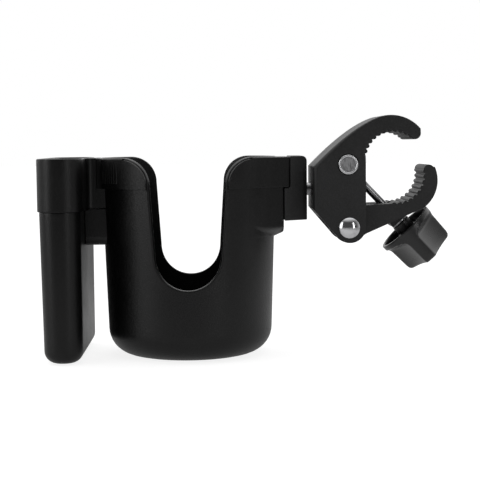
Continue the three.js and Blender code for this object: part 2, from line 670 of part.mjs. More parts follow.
function knob() {
  const sides = 48;
  const skirtTop = 14;
  const body = ringed([0, 2.2, 4.3, 6.4, 8.5, 13, 18.8, 19.8, 20.5, KNOB_HEIGHT], knobRadius, sides);
  const innerRadius = (angle, height) => knobRadius(angle, Math.min(height + 2, skirtTop)) - KNOB_WALL;
  const skirt = ringed([-1, 2, 4, 6.5, skirtTop], innerRadius, sides)
    .subtract(rod('z', KNOB_AT - 5, KNOB_AT + 20, [0, 0], HUB_RADIUS, 32));
  const hubFrom = WASHER_AT + 1 + GAP;
  return body.subtract(skirt)
    .add(rod('z', hubFrom, KNOB_AT + skirtTop + 1, [0, 0], HUB_RADIUS, 32))
    .subtract(rod('z', hubFrom - 1, HEAD_AT + 1, [0, 0], BOLT_RADIUS + GAP, 24))
    .subtract(rod('z', HEAD_AT - GAP, HEAD_AT + HEAD_HEIGHT + GAP, [0, 0], HEAD_CORNER + GAP, 6));
}
plastic(swing, 'knob', knob());

export default root;
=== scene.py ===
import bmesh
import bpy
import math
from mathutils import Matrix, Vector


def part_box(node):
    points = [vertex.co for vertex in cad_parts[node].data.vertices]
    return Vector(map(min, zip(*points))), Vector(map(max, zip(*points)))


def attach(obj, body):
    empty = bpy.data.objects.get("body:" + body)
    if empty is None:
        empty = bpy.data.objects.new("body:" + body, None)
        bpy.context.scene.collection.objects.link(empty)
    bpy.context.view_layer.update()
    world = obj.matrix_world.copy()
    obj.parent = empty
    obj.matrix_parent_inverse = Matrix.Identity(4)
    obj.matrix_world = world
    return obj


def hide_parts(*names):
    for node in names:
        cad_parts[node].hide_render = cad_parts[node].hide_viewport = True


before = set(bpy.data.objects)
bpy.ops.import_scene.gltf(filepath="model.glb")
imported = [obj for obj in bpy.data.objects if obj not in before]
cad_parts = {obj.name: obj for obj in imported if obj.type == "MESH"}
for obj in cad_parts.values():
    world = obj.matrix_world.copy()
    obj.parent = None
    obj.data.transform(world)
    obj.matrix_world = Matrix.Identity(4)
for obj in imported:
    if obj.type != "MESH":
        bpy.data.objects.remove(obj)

# %% [markdown]
# # A clamp-on cup holder with a phone pocket
# The object is a tapered black cup with a slot in front and behind for a mug's handle, a flat
# pocket for a phone on its left, and a tube clamp on its right that swivels and is closed by a
# knob on a swing bolt. The frame that was just loaded holds every part at its true size and place.
# The cells below rebuild each part that shows with the roundings, threads and teeth of the real
# mouldings, give each its finish, and let it ride on the body of the part that it stands for.

MM = 0.001
TURN = 2 * math.pi
ORIGIN, RIGHT, BACK, UP = (0, 0, 0), (1, 0, 0), (0, 1, 0), (0, 0, 1)
GAP, SEAM = 0.3, 0.06    # millimetres between parts that touch, and between parts that look closed
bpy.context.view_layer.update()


def span(node, axis):
    """The two ends of a part of the frame along an axis, in millimetres."""
    return [corner[axis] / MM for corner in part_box(node)]


# %% [markdown]
# ## Camera
# A long lens stands a little above the rim of the cup, two thirds of a metre in front of it, as a
# shop's product camera does. The camera leans by less than a degree and looks slightly down, so
# the mouth of the cup is seen edge-on while the underside still curves.

# %% Camera
camera = bpy.data.objects.new("camera", bpy.data.cameras.new("camera"))
bpy.context.scene.collection.objects.link(camera)
bpy.context.scene.camera = camera
camera.data.sensor_width = 36
camera.data.lens = 93.73
camera.location = (0.0129, -0.6656, 0.1108)
camera.rotation_euler = [math.radians(angle) for angle in (85.578, 0.588, -1.252)]
camera.data.clip_start, camera.data.clip_end = 0.05, 20
print("camera angles:", [round(math.degrees(angle), 2) for angle in camera.rotation_euler])

# %% [markdown]
# ## Sums with sockets
# A material or a Geometry Nodes tree is mostly arithmetic. Wiring Math nodes by hand hides the
# sum, so this small class wraps a socket and turns Python's own operators into Math nodes. The
# Tree class has one method that makes any other node: its settings are set first, then its
# sockets, so a ramp or an operation is in place before anything is linked to it.

# %% Socket values and trees
class Value:
    """An output socket that takes part in sums like a number."""

    def __init__(self, tree, socket):
        self.tree, self.socket = tree, socket

    def sum(self, operation, first, second):
        return self.tree.node("ShaderNodeMath", {"operation": operation}, {0: first, 1: second})

    def __add__(self, other):
        return self.sum("ADD", self, other)

    def __sub__(self, other):
        return self.sum("SUBTRACT", self, other)

    def __rsub__(self, other):
        return self.sum("SUBTRACT", other, self)

    def __mul__(self, other):
        return self.sum("MULTIPLY", self, other)

    def __truediv__(self, other):
        return self.sum("DIVIDE", self, other)

    def __rtruediv__(self, other):
        return self.sum("DIVIDE", other, self)

    def __pow__(self, other):
        return self.sum("POWER", self, other)

    __radd__, __rmul__ = __add__, __mul__


class Tree:
    """Makes the nodes of one node tree and links them."""

    def __init__(self, tree):
        self.tree = tree

    def node(self, kind, settings=None, sockets=None, output=0):
        made = self.tree.nodes.new(kind)
        for name, value in (settings or {}).items():
            if name == "stops":
                ramp = made.color_ramp
                for spot, (position, shade) in zip((0, 1), (value[0], value[-1])):
                    ramp.elements[spot].position, ramp.elements[spot].color = position, (*[shade] * 3, 1)
                for position, shade in value[1:-1]:
                    ramp.elements.new(position).color = (*[shade] * 3, 1)
            else:
                setattr(made, name, value)
        for name, value in (sockets or {}).items():
            if isinstance(value, Value):
                self.tree.links.new(value.socket, made.inputs[name])
            else:
                made.inputs[name].default_value = value
        return Value(self, made.outputs[output])

    def smooth(self, value, low, high, to_low=0.0, to_high=1.0):
        """value mapped from low..high to to_low..to_high and held at both ends."""
        return self.node("ShaderNodeMapRange", {"interpolation_type": "SMOOTHSTEP"},
                         {0: value, 1: low, 2: high, 3: to_low, 4: to_high})


print("socket class ready")

# %% [markdown]
# ## Finishes
# The mouldings are black, but not a flat black. Spark-eroded moulds leave a fine grain, handling
# leaves slightly glossier patches, and edges polish first. Each finish mixes two near blacks by a
# slow noise, lets a second noise vary the roughness, and adds two sizes of bump. All of them read
# Object coordinates, so the pattern stays put on the part when a joint moves.

# %% Helpers that every finish shares
def principled(name):
    """An empty material with a Principled surface: (material, tree, surface node)."""
    material = bpy.data.materials.new(name)
    material.use_nodes = True
    tree = Tree(material.node_tree)
    surface = material.node_tree.nodes["Principled BSDF"]
    return material, tree, surface


def feed(tree, surface, **values):
    """Links or sets sockets of the surface; an underscore stands for a space."""
    for name, value in values.items():
        socket = surface.inputs[name.replace("_", " ")]
        if isinstance(value, Value):
            tree.tree.links.new(value.socket, socket)
        else:
            socket.default_value = value


def place(tree):
    return tree.node("ShaderNodeTexCoord", output="Object")


def noise(tree, where, scale, detail=3.0, roughness=0.55):
    return tree.node("ShaderNodeTexNoise", {}, {"Vector": where, "Scale": scale, "Detail": detail,
                                                "Roughness": roughness})


def mix_colour(tree, factor, first, second):
    return tree.node("ShaderNodeMix", {"data_type": "RGBA"}, {0: factor, 6: first, 7: second}, output=2)


def bump(tree, height, distance, strength=1.0, base=None):
    sockets = {"Height": height, "Distance": distance, "Strength": strength}
    if base:
        sockets["Normal"] = base
    return tree.node("ShaderNodeBump", {}, sockets)


def grey(level, tint=0.0):
    return (level, level, level * (1 + tint), 1)


# %% Moulded black plastics
def black_plastic(name, dark, light, shine, grain, grain_depth, specular):
    """Near-black plastic: two blacks, a roughness that wanders round shine, and a moulded grain."""
    material, tree, surface = principled(name)
    where = place(tree)
    cloud = tree.smooth(noise(tree, where, 38, 4), 0.32, 0.68)
    speck = tree.smooth(noise(tree, where, grain, 3, 0.65), 0.35, 0.72)
    scuff = tree.smooth(noise(tree, tree.node("ShaderNodeMapping", {}, {"Vector": where,
                        "Scale": (1, 1, 0.12)}), 420, 5, 0.7), 0.62, 0.8)
    colour = mix_colour(tree, cloud * 0.4 + speck * 0.6, grey(dark), grey(light, 0.03))
    roughness = shine + cloud * 0.05 - scuff * 0.06 + speck * 0.06
    fine = bump(tree, speck, grain_depth * MM, 0.6)
    sag = bump(tree, noise(tree, where, 55, 2), 0.06 * MM, 0.3, fine)
    feed(tree, surface, Base_Color=colour, Roughness=roughness, Normal=sag,
         Specular_IOR_Level=specular, IOR=1.5)
    return material


moulded_black = black_plastic("moulded_black", 0.0012, 0.005, 0.3, 1300, 0.05, 0.34)
# The clamp's plastic is a lighter, rougher black than the cup's, and it is made lighter still as painted
# light: the raised blacks stand in for the brighter light that falls on the bracket and jaws.
jaw_black = black_plastic("jaw_black", 0.014, 0.026, 0.44, 1300, 0.03, 0.4)
knob_black = black_plastic("knob_black", 0.008, 0.015, 0.25, 2400, 0.012, 0.5)
print("plastics:", moulded_black.name, jaw_black.name, knob_black.name)

# %% Metals
def metal(name, dark, light, shine, scratch_scale, scratch_depth, stretch=(1, 1, 1), tint=0.02):
    """Plated or bare metal with fine scratches drawn out along an axis and a faint stain."""
    material, tree, surface = principled(name)
    where = place(tree)
    stain = tree.smooth(noise(tree, where, 160, 3), 0.35, 0.7)
    drawn = tree.node("ShaderNodeMapping", {}, {"Vector": where, "Scale": stretch})
    scratch = noise(tree, drawn, scratch_scale, 3, 0.6)
    colour = mix_colour(tree, stain, grey(light, tint), grey(dark, tint))
    roughness = shine + stain * 0.08 + tree.smooth(scratch, 0.55, 0.8) * 0.08
    feed(tree, surface, Base_Color=colour, Metallic=1.0, Roughness=roughness,
         Normal=bump(tree, scratch, scratch_depth * MM, 0.5))
    return material


bright_plate = metal("bright_plate", 0.5, 0.72, 0.1, 900, 0.012)
zinc_steel = metal("zinc_steel", 0.22, 0.36, 0.24, 700, 0.02, (1, 1, 0.3))
black_steel = metal("black_steel", 0.03, 0.06, 0.38, 1200, 0.02)
print("metals:", bright_plate.name, zinc_steel.name, black_steel.name)


def brushed_face(name, centre, rim):
    """Alloy with a bright rim and a darker, filed disc inside it, about an axis along Y."""
    material, tree, surface = principled(name)
    where = tree.node("ShaderNodeVectorMath", {"operation": "SUBTRACT"}, {0: place(tree), 1: centre})
    flat = tree.node("ShaderNodeVectorMath", {"operation": "MULTIPLY"}, {0: where, 1: (1, 0, 1)})
    radius = tree.node("ShaderNodeVectorMath", {"operation": "LENGTH"}, {0: flat}, output="Value")
    inside = tree.smooth(radius, rim - 0.0001, rim, 1.0, 0.0)
    filed = tree.node("ShaderNodeMapping", {}, {"Vector": where, "Scale": (1, 1, 0.25)})
    strokes = tree.smooth(noise(tree, filed, 1500, 3, 0.6), 0.35, 0.7)
    colour = mix_colour(tree, inside * (0.35 + strokes * 0.65), grey(0.8, 0.02), grey(0.26, 0.02))
    feed(tree, surface, Base_Color=colour, Metallic=1.0, Roughness=0.16 + inside * 0.16 + strokes * 0.06,
         Normal=bump(tree, strokes * inside, 0.03 * MM, 0.5))
    return material


# %% [markdown]
# ## Mesh helpers
# Most parts here are mouldings or turned parts. A moulding is an outline given depth, cut and then
# bevelled, so that every edge catches a thin line of light as a real radius does. A turned part is
# a profile spun about an axis. A loft joins closed rings, which suits the pocket, whose section is
# the same rounded oblong at every height.

# %% From points to finished pieces
def mesh_object(name, vertices, faces):
    mesh = bpy.data.meshes.new(name)
    mesh.from_pydata([Vector(point) * MM for point in vertices], [], faces)
    made = bpy.data.objects.new(name, mesh)
    bpy.context.scene.collection.objects.link(made)
    tidy = bmesh.new()
    tidy.from_mesh(mesh)
    bmesh.ops.remove_doubles(tidy, verts=tidy.verts, dist=0.004 * MM)
    bmesh.ops.recalc_face_normals(tidy, faces=tidy.faces)
    tidy.to_mesh(mesh)
    tidy.free()
    return made


def settle(piece):
    """Turns the piece's live modifiers into its own mesh."""
    graph = bpy.context.evaluated_depsgraph_get()
    mesh = bpy.data.meshes.new_from_object(piece.evaluated_get(graph))
    piece.modifiers.clear()
    piece.data = mesh
    return piece


def modify(piece, kind, **settings):
    made = piece.modifiers.new(kind.lower(), kind)
    for name, value in settings.items():
        setattr(made, name, value)
    return made


def combine(piece, others, operation):
    """Cuts or joins other pieces into this one and removes them."""
    for other in others:
        modify(piece, "BOOLEAN", operation=operation, object=other, solver="EXACT")
        settle(piece)
        bpy.data.objects.remove(other)
    return piece


def cut(piece, *others):
    return combine(piece, others, "DIFFERENCE")


def fuse(piece, *others):
    return combine(piece, others, "UNION")


def soften(piece, width, angle=35, segments=3):
    """A moulded or machined radius on every edge sharper than angle."""
    modify(piece, "BEVEL", width=width * MM, segments=segments, limit_method="ANGLE",
           angle_limit=math.radians(angle), miter_outer="MITER_ARC", harden_normals=False)
    return settle(piece)


def shade(piece, angle=32):
    piece.data.shade_smooth()
    piece.data.set_sharp_from_angle(angle=math.radians(angle))
    modify(piece, "WEIGHTED_NORMAL", keep_sharp=True, weight=60)
    return settle(piece)


def dress(piece, finish, slot, body, *nodes):
    """The last step of every piece: its material, its body and the nodes it stands for; slot is not
    used.
    """
    shade(piece)
    piece.data.materials.clear()
    piece.data.materials.append(finish)
    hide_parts(*nodes)
    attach(piece, body)
    print(f"{piece.name}: {len(piece.data.polygons)} faces on {body}")
    return piece


# %% Outlines, prisms, turned parts and lofts
def arc(x, z, radius, start, end, steps=12):
    """Points of an arc about (x, z); angles in degrees, anticlockwise from +X."""
    angles = [math.radians(start + (end - start) * step / steps) for step in range(steps + 1)]
    return [(x + radius * math.cos(angle), z + radius * math.sin(angle)) for angle in angles]


def between(name, near, far):
    """The solid between two rings of equal count."""
    count = len(near)
    sides = [(i, (i + 1) % count, (i + 1) % count + count, i + count) for i in range(count)]
    return mesh_object(name, [*near, *far],
                       [tuple(range(count)), tuple(range(count, 2 * count)), *sides])


def prism(name, outline, near, far):
    """An outline in X and Z given depth along Y."""
    return between(name, *([(x, y, z) for x, z in outline] for y in (near, far)))


def box(name, x0, x1, y0, y1, z0, z1):
    return prism(name, [(x0, z0), (x1, z0), (x1, z1), (x0, z1)], y0, y1)


def loft(name, rings, closed=False):
    """Closed rings of equal count joined in order; the ends are capped, or joined if closed."""
    count = len(rings[0])
    vertices = [point for ring in rings for point in ring]
    faces = []
    for level in range(len(rings) if closed else len(rings) - 1):
        base, above = level * count, (level + 1) % len(rings) * count
        faces += [(base + i, base + (i + 1) % count, above + (i + 1) % count, above + i)
                  for i in range(count)]
    if not closed:
        faces += [tuple(range(count)), tuple(range(len(vertices) - count, len(vertices)))]
    return mesh_object(name, vertices, faces)


def turned(name, profile, origin, direction, sides=64, closed=False):
    """A profile of (radius, station) spun about an axis; radius 0 closes an end."""
    axis = Vector(direction).normalized()
    side = axis.orthogonal().normalized()
    other = axis.cross(side)
    rings = []
    for radius, station in profile:
        centre = Vector(origin) + axis * station
        rings.append([centre + (side * math.cos(TURN * i / sides) + other * math.sin(TURN * i / sides))
                      * max(radius, 1e-4) for i in range(sides)])
    return loft(name, rings, closed)


def rod(name, radius, origin, direction, start, end, sides=48):
    return turned(name, [(radius, start), (radius, end)], origin, direction, sides)


print("mesh helpers ready")

# %% [markdown]
# ## The cup
# The cup is one moulding: a cone with a rounded heel, open in front and behind in a U that flares
# out to the rim. Cutting the U out of a finished cone leaves long thin faces that shade badly and
# can't be rounded. Here the wall is a grid instead. Its first rows run parallel to the edge of the
# U and the rim, and its columns then fan out to the heel, so Solidify gives the wall its thickness
# and Bevel rolls the whole edge in one go.

# %% Sizes of the cup, in millimetres
CUP_TOP = span("cup_body", 2)[1]
CUP_FOOT, CUP_TAPER = 43, 0.033           # radius of the cone at the floor, and its growth with height
CUP_WALL, CUP_HEEL = 2.6, 14
SLOT_FOOT, SLOT_RADIUS, SLOT_HALF = 37.3, 17.3, 19.7
FLARE = 14.3                              # radius that rolls the slot's edge into the rim
BAND_FOOT, BAND_PROUD = 88, 1.3           # the raised band round the shoulders
SLOT_CENTRE, FLARE_CENTRE = SLOT_FOOT + SLOT_RADIUS, CUP_TOP - FLARE
print("cup height:", round(CUP_TOP, 2), "rim radius:", round(CUP_FOOT + CUP_TAPER * CUP_TOP, 2))


def cup_radius(z):
    return CUP_FOOT + CUP_TAPER * z


def edge_path(inset):
    """A quarter of the slot's edge and the rim, as (distance from the middle plane, height)."""
    top_steps = 18
    path = arc(0, SLOT_CENTRE, SLOT_RADIUS + inset, -90, -4, 20)
    for step in range(1, 15):
        share = step / 15
        path.append((SLOT_RADIUS + inset + (SLOT_HALF - SLOT_RADIUS) * share,
                     SLOT_CENTRE + (FLARE_CENTRE - SLOT_CENTRE) * share))
    path += arc(SLOT_HALF + FLARE, FLARE_CENTRE, FLARE - inset, 180, 90, 16)
    high = CUP_TOP - inset
    first = math.acos((SLOT_HALF + FLARE) / cup_radius(high))
    for step in range(1, top_steps + 1):
        path.append((cup_radius(high) * math.cos(first * (1 - step / top_steps)), high))
    return path


def wall_point(across, z, proud=0.0):
    """A point of the front right quarter of the cone, from its distance from the middle plane."""
    radius = cup_radius(z) + proud
    across = min(across, radius)
    return (across, -math.sqrt(radius * radius - across * across), z)


def four_quarters(name, rows):
    """Mirrors a quarter grid of points into a closed ring of four."""
    vertices, faces = [], []
    width = len(rows[0])
    for side_x, side_y in ((1, 1), (-1, 1), (-1, -1), (1, -1)):
        first = len(vertices)
        for row in rows:
            vertices += [(x * side_x, y * side_y, z) for x, y, z in row]
        for level in range(len(rows) - 1):
            for i in range(width - 1):
                corner = first + level * width + i
                faces.append((corner, corner + 1, corner + 1 + width, corner + width))
    return mesh_object(name, vertices, faces)


# %% Where the columns reach the heel
FAN = ((0, 90), (20, 58), (34, 42), (51, 24), (69, 0))    # (column, its angle in degrees)


def fan_angle(column):
    for (first, start_angle), (last, end_angle) in zip(FAN, FAN[1:]):
        if column <= last:
            share = (column - first) / (last - first)
            return math.radians(start_angle + (end_angle - start_angle) * share)


# %% The cup's wall and floor
inner_rows = [[wall_point(*point) for point in edge_path(inset)] for inset in (0, 1, 2.2, 4, 7)]
columns = len(inner_rows[0])
lower_rows = []
for step in range(1, 15):
    share = step / 14
    row = []
    for i, (x, y, z) in enumerate(inner_rows[-1]):
        height = z + (CUP_HEEL - z) * share
        start_angle = math.atan2(-y, x)
        angle = start_angle + (fan_angle(i) - start_angle) * share
        radius = cup_radius(height)
        row.append((radius * math.cos(angle), -radius * math.sin(angle), height))
    lower_rows.append(row)
heel_rows = []
heel_centre = cup_radius(CUP_HEEL) - CUP_HEEL
angles = [fan_angle(i) for i in range(columns)]
for radius, height in [*arc(heel_centre, CUP_HEEL, CUP_HEEL, 0, -90, 10)[1:], (20, 0), (8, 0), (0, 0)]:
    heel_rows.append([(radius * math.cos(angle), -radius * math.sin(angle), height)
                      for angle in angles])
cup = four_quarters("cup", inner_rows + lower_rows + heel_rows)
modify(cup, "SOLIDIFY", thickness=CUP_WALL * MM, offset=-1, use_even_offset=True)
settle(cup)
soften(cup, 0.7, 50, 4)
print("cup wall:", len(cup.data.polygons), "faces")

# %% The raised band, in its left and right halves
BAND_DEPTH, BAND_EDGE = BAND_PROUD + 0.9, SLOT_HALF + 0.9
band_path = [(BAND_EDGE, BAND_FOOT), *[point for point in edge_path(1) if point[1] > BAND_FOOT + 0.4]]
first_angle = math.acos(BAND_EDGE / (cup_radius(BAND_FOOT) + BAND_PROUD))
band_rows = []
for step in range(6):
    share = step / 5
    row = []
    for i, (across, z) in enumerate(band_path):
        top = wall_point(across, min(z, CUP_TOP - 0.4), BAND_PROUD)
        start_angle = math.atan2(-top[1], top[0])
        end_angle = first_angle * (1 - i / (len(band_path) - 1))
        angle = start_angle + (end_angle - start_angle) * share
        height = top[2] + (BAND_FOOT - top[2]) * share
        radius = cup_radius(height) + BAND_PROUD
        row.append((radius * math.cos(angle), -radius * math.sin(angle), height))
    band_rows.append(row)
band = four_quarters("band", band_rows)
modify(band, "SOLIDIFY", thickness=BAND_DEPTH * MM, offset=-1)
settle(band)
soften(band, 0.35, 50, 2)
print("band:", len(band.data.polygons), "faces")

# %% [markdown]
# ## Nose and tongue
# On the right the wall swells into a nose that the clamp's bracket is screwed to; on the left a
# tongue reaches out under the pocket's neck. Both are part of the cup. The nose has no edge where
# it leaves the wall, so it isn't a block with a fillet: in each direction from the cup's axis its
# radius is the larger of the block's and the wall's, rounded over where the two come close. The
# tongue is a plain outline given length, with its root cut to the cone.

# %% Helpers for blocks that leave the wall
def prism_up(name, outline, low, high):
    """An outline in X and Y given height along Z."""
    return between(name, *([(x, y, z) for x, y in outline] for z in (low, high)))


def prism_across(name, outline, left, right):
    """An outline in Y and Z given length along X."""
    return between(name, *([(x, y, z) for y, z in outline] for x in (left, right)))


def wall_core(name, skin):
    """The cone inside the cup, less than the wall's outside by skin."""
    profile = [(cup_radius(z) - skin, z) for z in (-2, CUP_TOP + 4)]
    return turned(name, profile, ORIGIN, UP, 160)


NOSE_SLOPE, NOSE_REACH, NOSE_HALF = 0.667, 49.5, 18.4
NOSE_FOOT, BAND_NOSE_REACH = 61.8, 52.7
NECK_HALF, NECK_END = 15.4, -47.8


def nose_half(x):
    return NOSE_HALF - NOSE_SLOPE * (x - NOSE_REACH)


def soft_max(first, second, blend):
    """The larger of two numbers, rounded over where they are closer than blend."""
    share = max(blend - abs(first - second), 0) / blend
    return max(first, second) + share * share * blend / 4


def soft_min(first, second, blend):
    return -soft_max(-first, -second, blend)


def swelling(name, reach, half, slope, skin, low, high, side=1, narrowing=None, edge=0.35, lean=0.0,
             blend=2.5):
    """A block that grows out of the cup's wall and fades into it, as a loft of rings.

    Seen from above, the block ends at x = reach, where it is half wide, and widens by slope
    towards the wall, which stands skin outside the cone. narrowing(z) is its half width limit,
    and its underside rises by lean for each mm outwards.
    """
    def radius(angle, z):
        across, along = abs(math.sin(angle)) + 1e-6, math.cos(angle)
        body = (half + slope * reach) / (across + slope * along)
        if narrowing:
            body = soft_min(body, narrowing(z) / across, 5)
        return soft_max(soft_min(body, reach / along, 0.8), cup_radius(z) + skin, blend)

    angles = [math.radians(degree / 2) for degree in range(-93, 94)]
    turns = [math.pi / 2 * step / 4 for step in range(5)]
    levels = [(edge * (1 - math.sin(turn)), low + edge * (1 - math.cos(turn))) for turn in turns]
    levels += [(0, low + edge + (high - low - 2 * edge) * step / 48) for step in range(1, 48)]
    levels += [(edge * (1 - math.sin(turn)), high - edge * (1 - math.cos(turn)))
               for turn in reversed(turns)]
    rings = []
    for inset, z in levels:
        wall = cup_radius(z)
        ring = []
        for angle in angles:
            reached = radius(angle, z) - inset
            rise = lean * max(reached - wall, 0) * (high - z) / (high - low)
            ring.append((side * reached * math.cos(angle), reached * math.sin(angle), z + rise))
        ring += [(side * (wall - 1.3) * math.cos(angle), (wall - 1.3) * math.sin(angle), z)
                 for angle in reversed(angles)]
        rings.append(ring)
    return loft(name, rings)


# %% Nose and the band's own nose on the right, and the band's end on the left
nose = swelling("nose", NOSE_REACH, NOSE_HALF, NOSE_SLOPE, 0.012, NOSE_FOOT, BAND_FOOT + 1,
                narrowing=lambda z: 12 + 3 * (z - NOSE_FOOT), edge=0.8, lean=0.45, blend=2)
band_nose = swelling("band_nose", BAND_NOSE_REACH, NOSE_HALF - NOSE_SLOPE * 3.2 + 1.6, NOSE_SLOPE,
                     BAND_PROUD + 0.012, BAND_FOOT, CUP_TOP - 0.4)
band_end = swelling("band_end", -NECK_END - 0.05, NECK_HALF, 0.08, BAND_PROUD + 0.012, BAND_FOOT,
                    CUP_TOP - 0.4, side=-1)

# %% The room in the nose that the swivel's tail and nut turn in
SWIVEL_HEIGHT = 86.3
for block in (nose, band_nose):
    cut(block, box("tail_room", cup_radius(SWIVEL_HEIGHT) + 0.2, 60, -6.5, 6.5,
                   SWIVEL_HEIGHT - 6.5, SWIVEL_HEIGHT + 6.5))

# %% Tongue
TONGUE_HALF, TONGUE_FOOT, TONGUE_TOP, TONGUE_END = 14.6, 58.4, 77.6, -54
tongue_outline = [*arc(5 - TONGUE_HALF, TONGUE_FOOT + 5, 5, 180, 270, 8),
                  *arc(TONGUE_HALF - 5, TONGUE_FOOT + 5, 5, -90, 0, 8),
                  (TONGUE_HALF, TONGUE_TOP), (-TONGUE_HALF, TONGUE_TOP)]
tongue = prism_across("tongue", tongue_outline, TONGUE_END, -38)
cut(tongue, wall_core("core", 1.2))
cut(tongue, box("step", -60, -52.6, -30, 30, span("pocket_collar", 2)[0] - GAP, 90))
soften(tongue, 1.2, 40, 4)
print("nose and tongue ready")

# %% [markdown]
# ## Grip ribs
# A few fine upright ribs on the band beside the pocket give the thumb a hold. They repeat along an
# arc, which is what Geometry Nodes are for: points on an arc, a thin rod on each, turned with the
# surface, then made real. The tree's sizes are named inputs, set on the modifier.

# %% A Geometry Nodes group and its modifier
def new_group(name, inputs):
    """A Geometry Nodes group with a geometry output and named number inputs."""
    group = bpy.data.node_groups.new(name, "GeometryNodeTree")
    group.interface.new_socket("Geometry", in_out="INPUT", socket_type="NodeSocketGeometry")
    group.interface.new_socket("Geometry", in_out="OUTPUT", socket_type="NodeSocketGeometry")
    for title, kind in inputs.items():
        group.interface.new_socket(title, in_out="INPUT", socket_type=kind)
    tree = Tree(group)
    start = group.nodes.new("NodeGroupInput")
    given = {socket.name: Value(tree, socket) for socket in start.outputs if socket.name}
    return group, tree, given


def end_group(tree, geometry, finish):
    """Realize Instances, Set Material and the group's output."""
    real = tree.node("GeometryNodeRealizeInstances", {}, {"Geometry": geometry})
    dressed = tree.node("GeometryNodeSetMaterial", {}, {"Geometry": real, "Material": finish})
    end = tree.tree.nodes.new("NodeGroupOutput")
    tree.tree.links.new(dressed.socket, end.inputs["Geometry"])


def run_group(piece, group, **values):
    """Runs the group on a piece with its inputs set, and keeps the result as a plain mesh."""
    modifier = piece.modifiers.new(group.name, "NODES")
    modifier.node_group = group
    for item in group.interface.items_tree:
        if item.in_out == "INPUT" and item.name in values:
            modifier[item.identifier] = values[item.name]
    return settle(piece)


def empty_piece(name):
    return mesh_object(name, [], [])


NUMBER, COUNT, MATERIAL, VECTOR = ("NodeSocketFloat", "NodeSocketInt", "NodeSocketMaterial",
                                   "NodeSocketVector")


# %% Rods on an arc, for ribs and teeth
def rods_on_arc():
    """Rods that stand in a row on an arc about an upright or level axis."""
    group, tree, given = new_group("rods_on_arc", {
        "Count": COUNT, "Radius": NUMBER, "First": NUMBER, "Sweep": NUMBER, "Thickness": NUMBER,
        "Length": NUMBER, "Centre": VECTOR, "Tilt": VECTOR, "Finish": MATERIAL})
    index = tree.node("GeometryNodeInputIndex")
    share = index / (given["Count"] - 1)
    angle = given["First"] + given["Sweep"] * share
    spot = tree.node("ShaderNodeCombineXYZ", {}, {
        0: given["Radius"] * tree.node("ShaderNodeMath", {"operation": "COSINE"}, {0: angle}),
        1: given["Radius"] * tree.node("ShaderNodeMath", {"operation": "SINE"}, {0: angle})})
    points = tree.node("GeometryNodePoints", {}, {"Count": given["Count"], "Position": spot,
                                                  "Radius": 0.001})
    rod_mesh = tree.node("GeometryNodeMeshCylinder", {"fill_type": "NGON"}, {
        "Vertices": 16, "Radius": given["Thickness"], "Depth": given["Length"]})
    placed = tree.node("GeometryNodeInstanceOnPoints", {}, {"Points": points, "Instance": rod_mesh})
    moved = tree.node("GeometryNodeTransform", {}, {"Geometry": placed, "Translation": given["Centre"],
                                                    "Rotation": given["Tilt"]})
    end_group(tree, moved, given["Finish"])
    return group


rods = rods_on_arc()
RIB_COUNT, RIB_STEP, RIB_HEIGHT = 8, 2.3, 96
rib_radius = cup_radius(RIB_HEIGHT) + BAND_PROUD
rib_sweep = (RIB_COUNT - 1) * RIB_STEP / rib_radius
ribs = []
for side in (-1, 1):
    middle = math.pi + side * math.radians(31)
    ribs.append(run_group(empty_piece("ribs"), rods, Count=RIB_COUNT, Finish=moulded_black,
                          Radius=rib_radius * MM, First=middle - rib_sweep / 2, Sweep=rib_sweep,
                          Thickness=0.32 * MM, Length=10.5 * MM, Centre=(0, 0, RIB_HEIGHT * MM)))
print("ribs:", [len(rib.data.polygons) for rib in ribs])


# %% The finished cup
def join(piece, others):
    """Joins closed shells that overlap inside the material into one piece."""
    tidy = bmesh.new()
    tidy.from_mesh(piece.data)
    for other in others:
        tidy.from_mesh(other.data)
        bpy.data.objects.remove(other)
    tidy.to_mesh(piece.data)
    tidy.free()
    return piece


SCREW_HEIGHTS = {"bracket": (74.6, 98), "collar": (83.5, 98)}
SCREW_HEAD = 3.3
for maker, side in (("bracket", 1), ("collar", -1)):
    for height in SCREW_HEIGHTS[maker]:
        seat = cup_radius(height) - CUP_WALL + 1.6 + GAP
        cut(cup, rod("recess", SCREW_HEAD + GAP, (0, 0, height), (side, 0, 0), 30, seat))
join(cup, [band, nose, band_nose, band_end, tongue, *ribs])
cup.name = "moulded_cup"
dress(cup, moulded_black, "moulded_black", "holder", "cup_body")

# %% [markdown]
# ## Screws
# Four self-tapping screws come from inside the cup: two into the bracket, two into the collar.
# Each has a pan head with a cross recess. The head is a turned profile, the recess a boolean.

# %% Wall screws
def wall_screw(name, side, height, length):
    seat = cup_radius(height) - CUP_WALL + 1.6
    profile = [(0, seat - 2), (1.6, seat - 1.95), (2.7, seat - 1.6), (3.2, seat - 0.9),
               (SCREW_HEAD, seat - 0.3), (SCREW_HEAD, seat), (1.6, seat), (1.6, seat + length - 1),
               (0.5, seat + length), (0, seat + length)]
    screw = turned(name, profile, (0, 0, height), (side, 0, 0), 40)
    for half_y, half_z in ((1.9, 0.4), (0.4, 1.9)):
        spots = sorted((side * (seat - 3), side * (seat - 1.1)))
        cut(screw, box("cross", *spots, -half_y, half_y, height - half_z, height + half_z))
    return screw


for maker, side, length in (("bracket", 1, 11), ("collar", -1, 7.5)):
    for place_name, height in zip(("lower", "upper"), SCREW_HEIGHTS[maker]):
        node = f"{maker}_screw_{place_name}"
        dress(wall_screw(f"screw_{maker}_{place_name}", side, height, length), black_steel,
              "black_screw", "holder", node)

# %% [markdown]
# ## The phone pocket and its collar
# The pocket is a deep flat box with round ends, a little narrower at the foot, held in a collar
# round its mouth. Its section is a rounded oblong at every height, so it is a loft: each ring is
# that oblong with its own inset. The outside is followed up, rolled over the lip and taken down
# the inside in one list of rings, which gives a closed shell with rounded edges and no boolean.

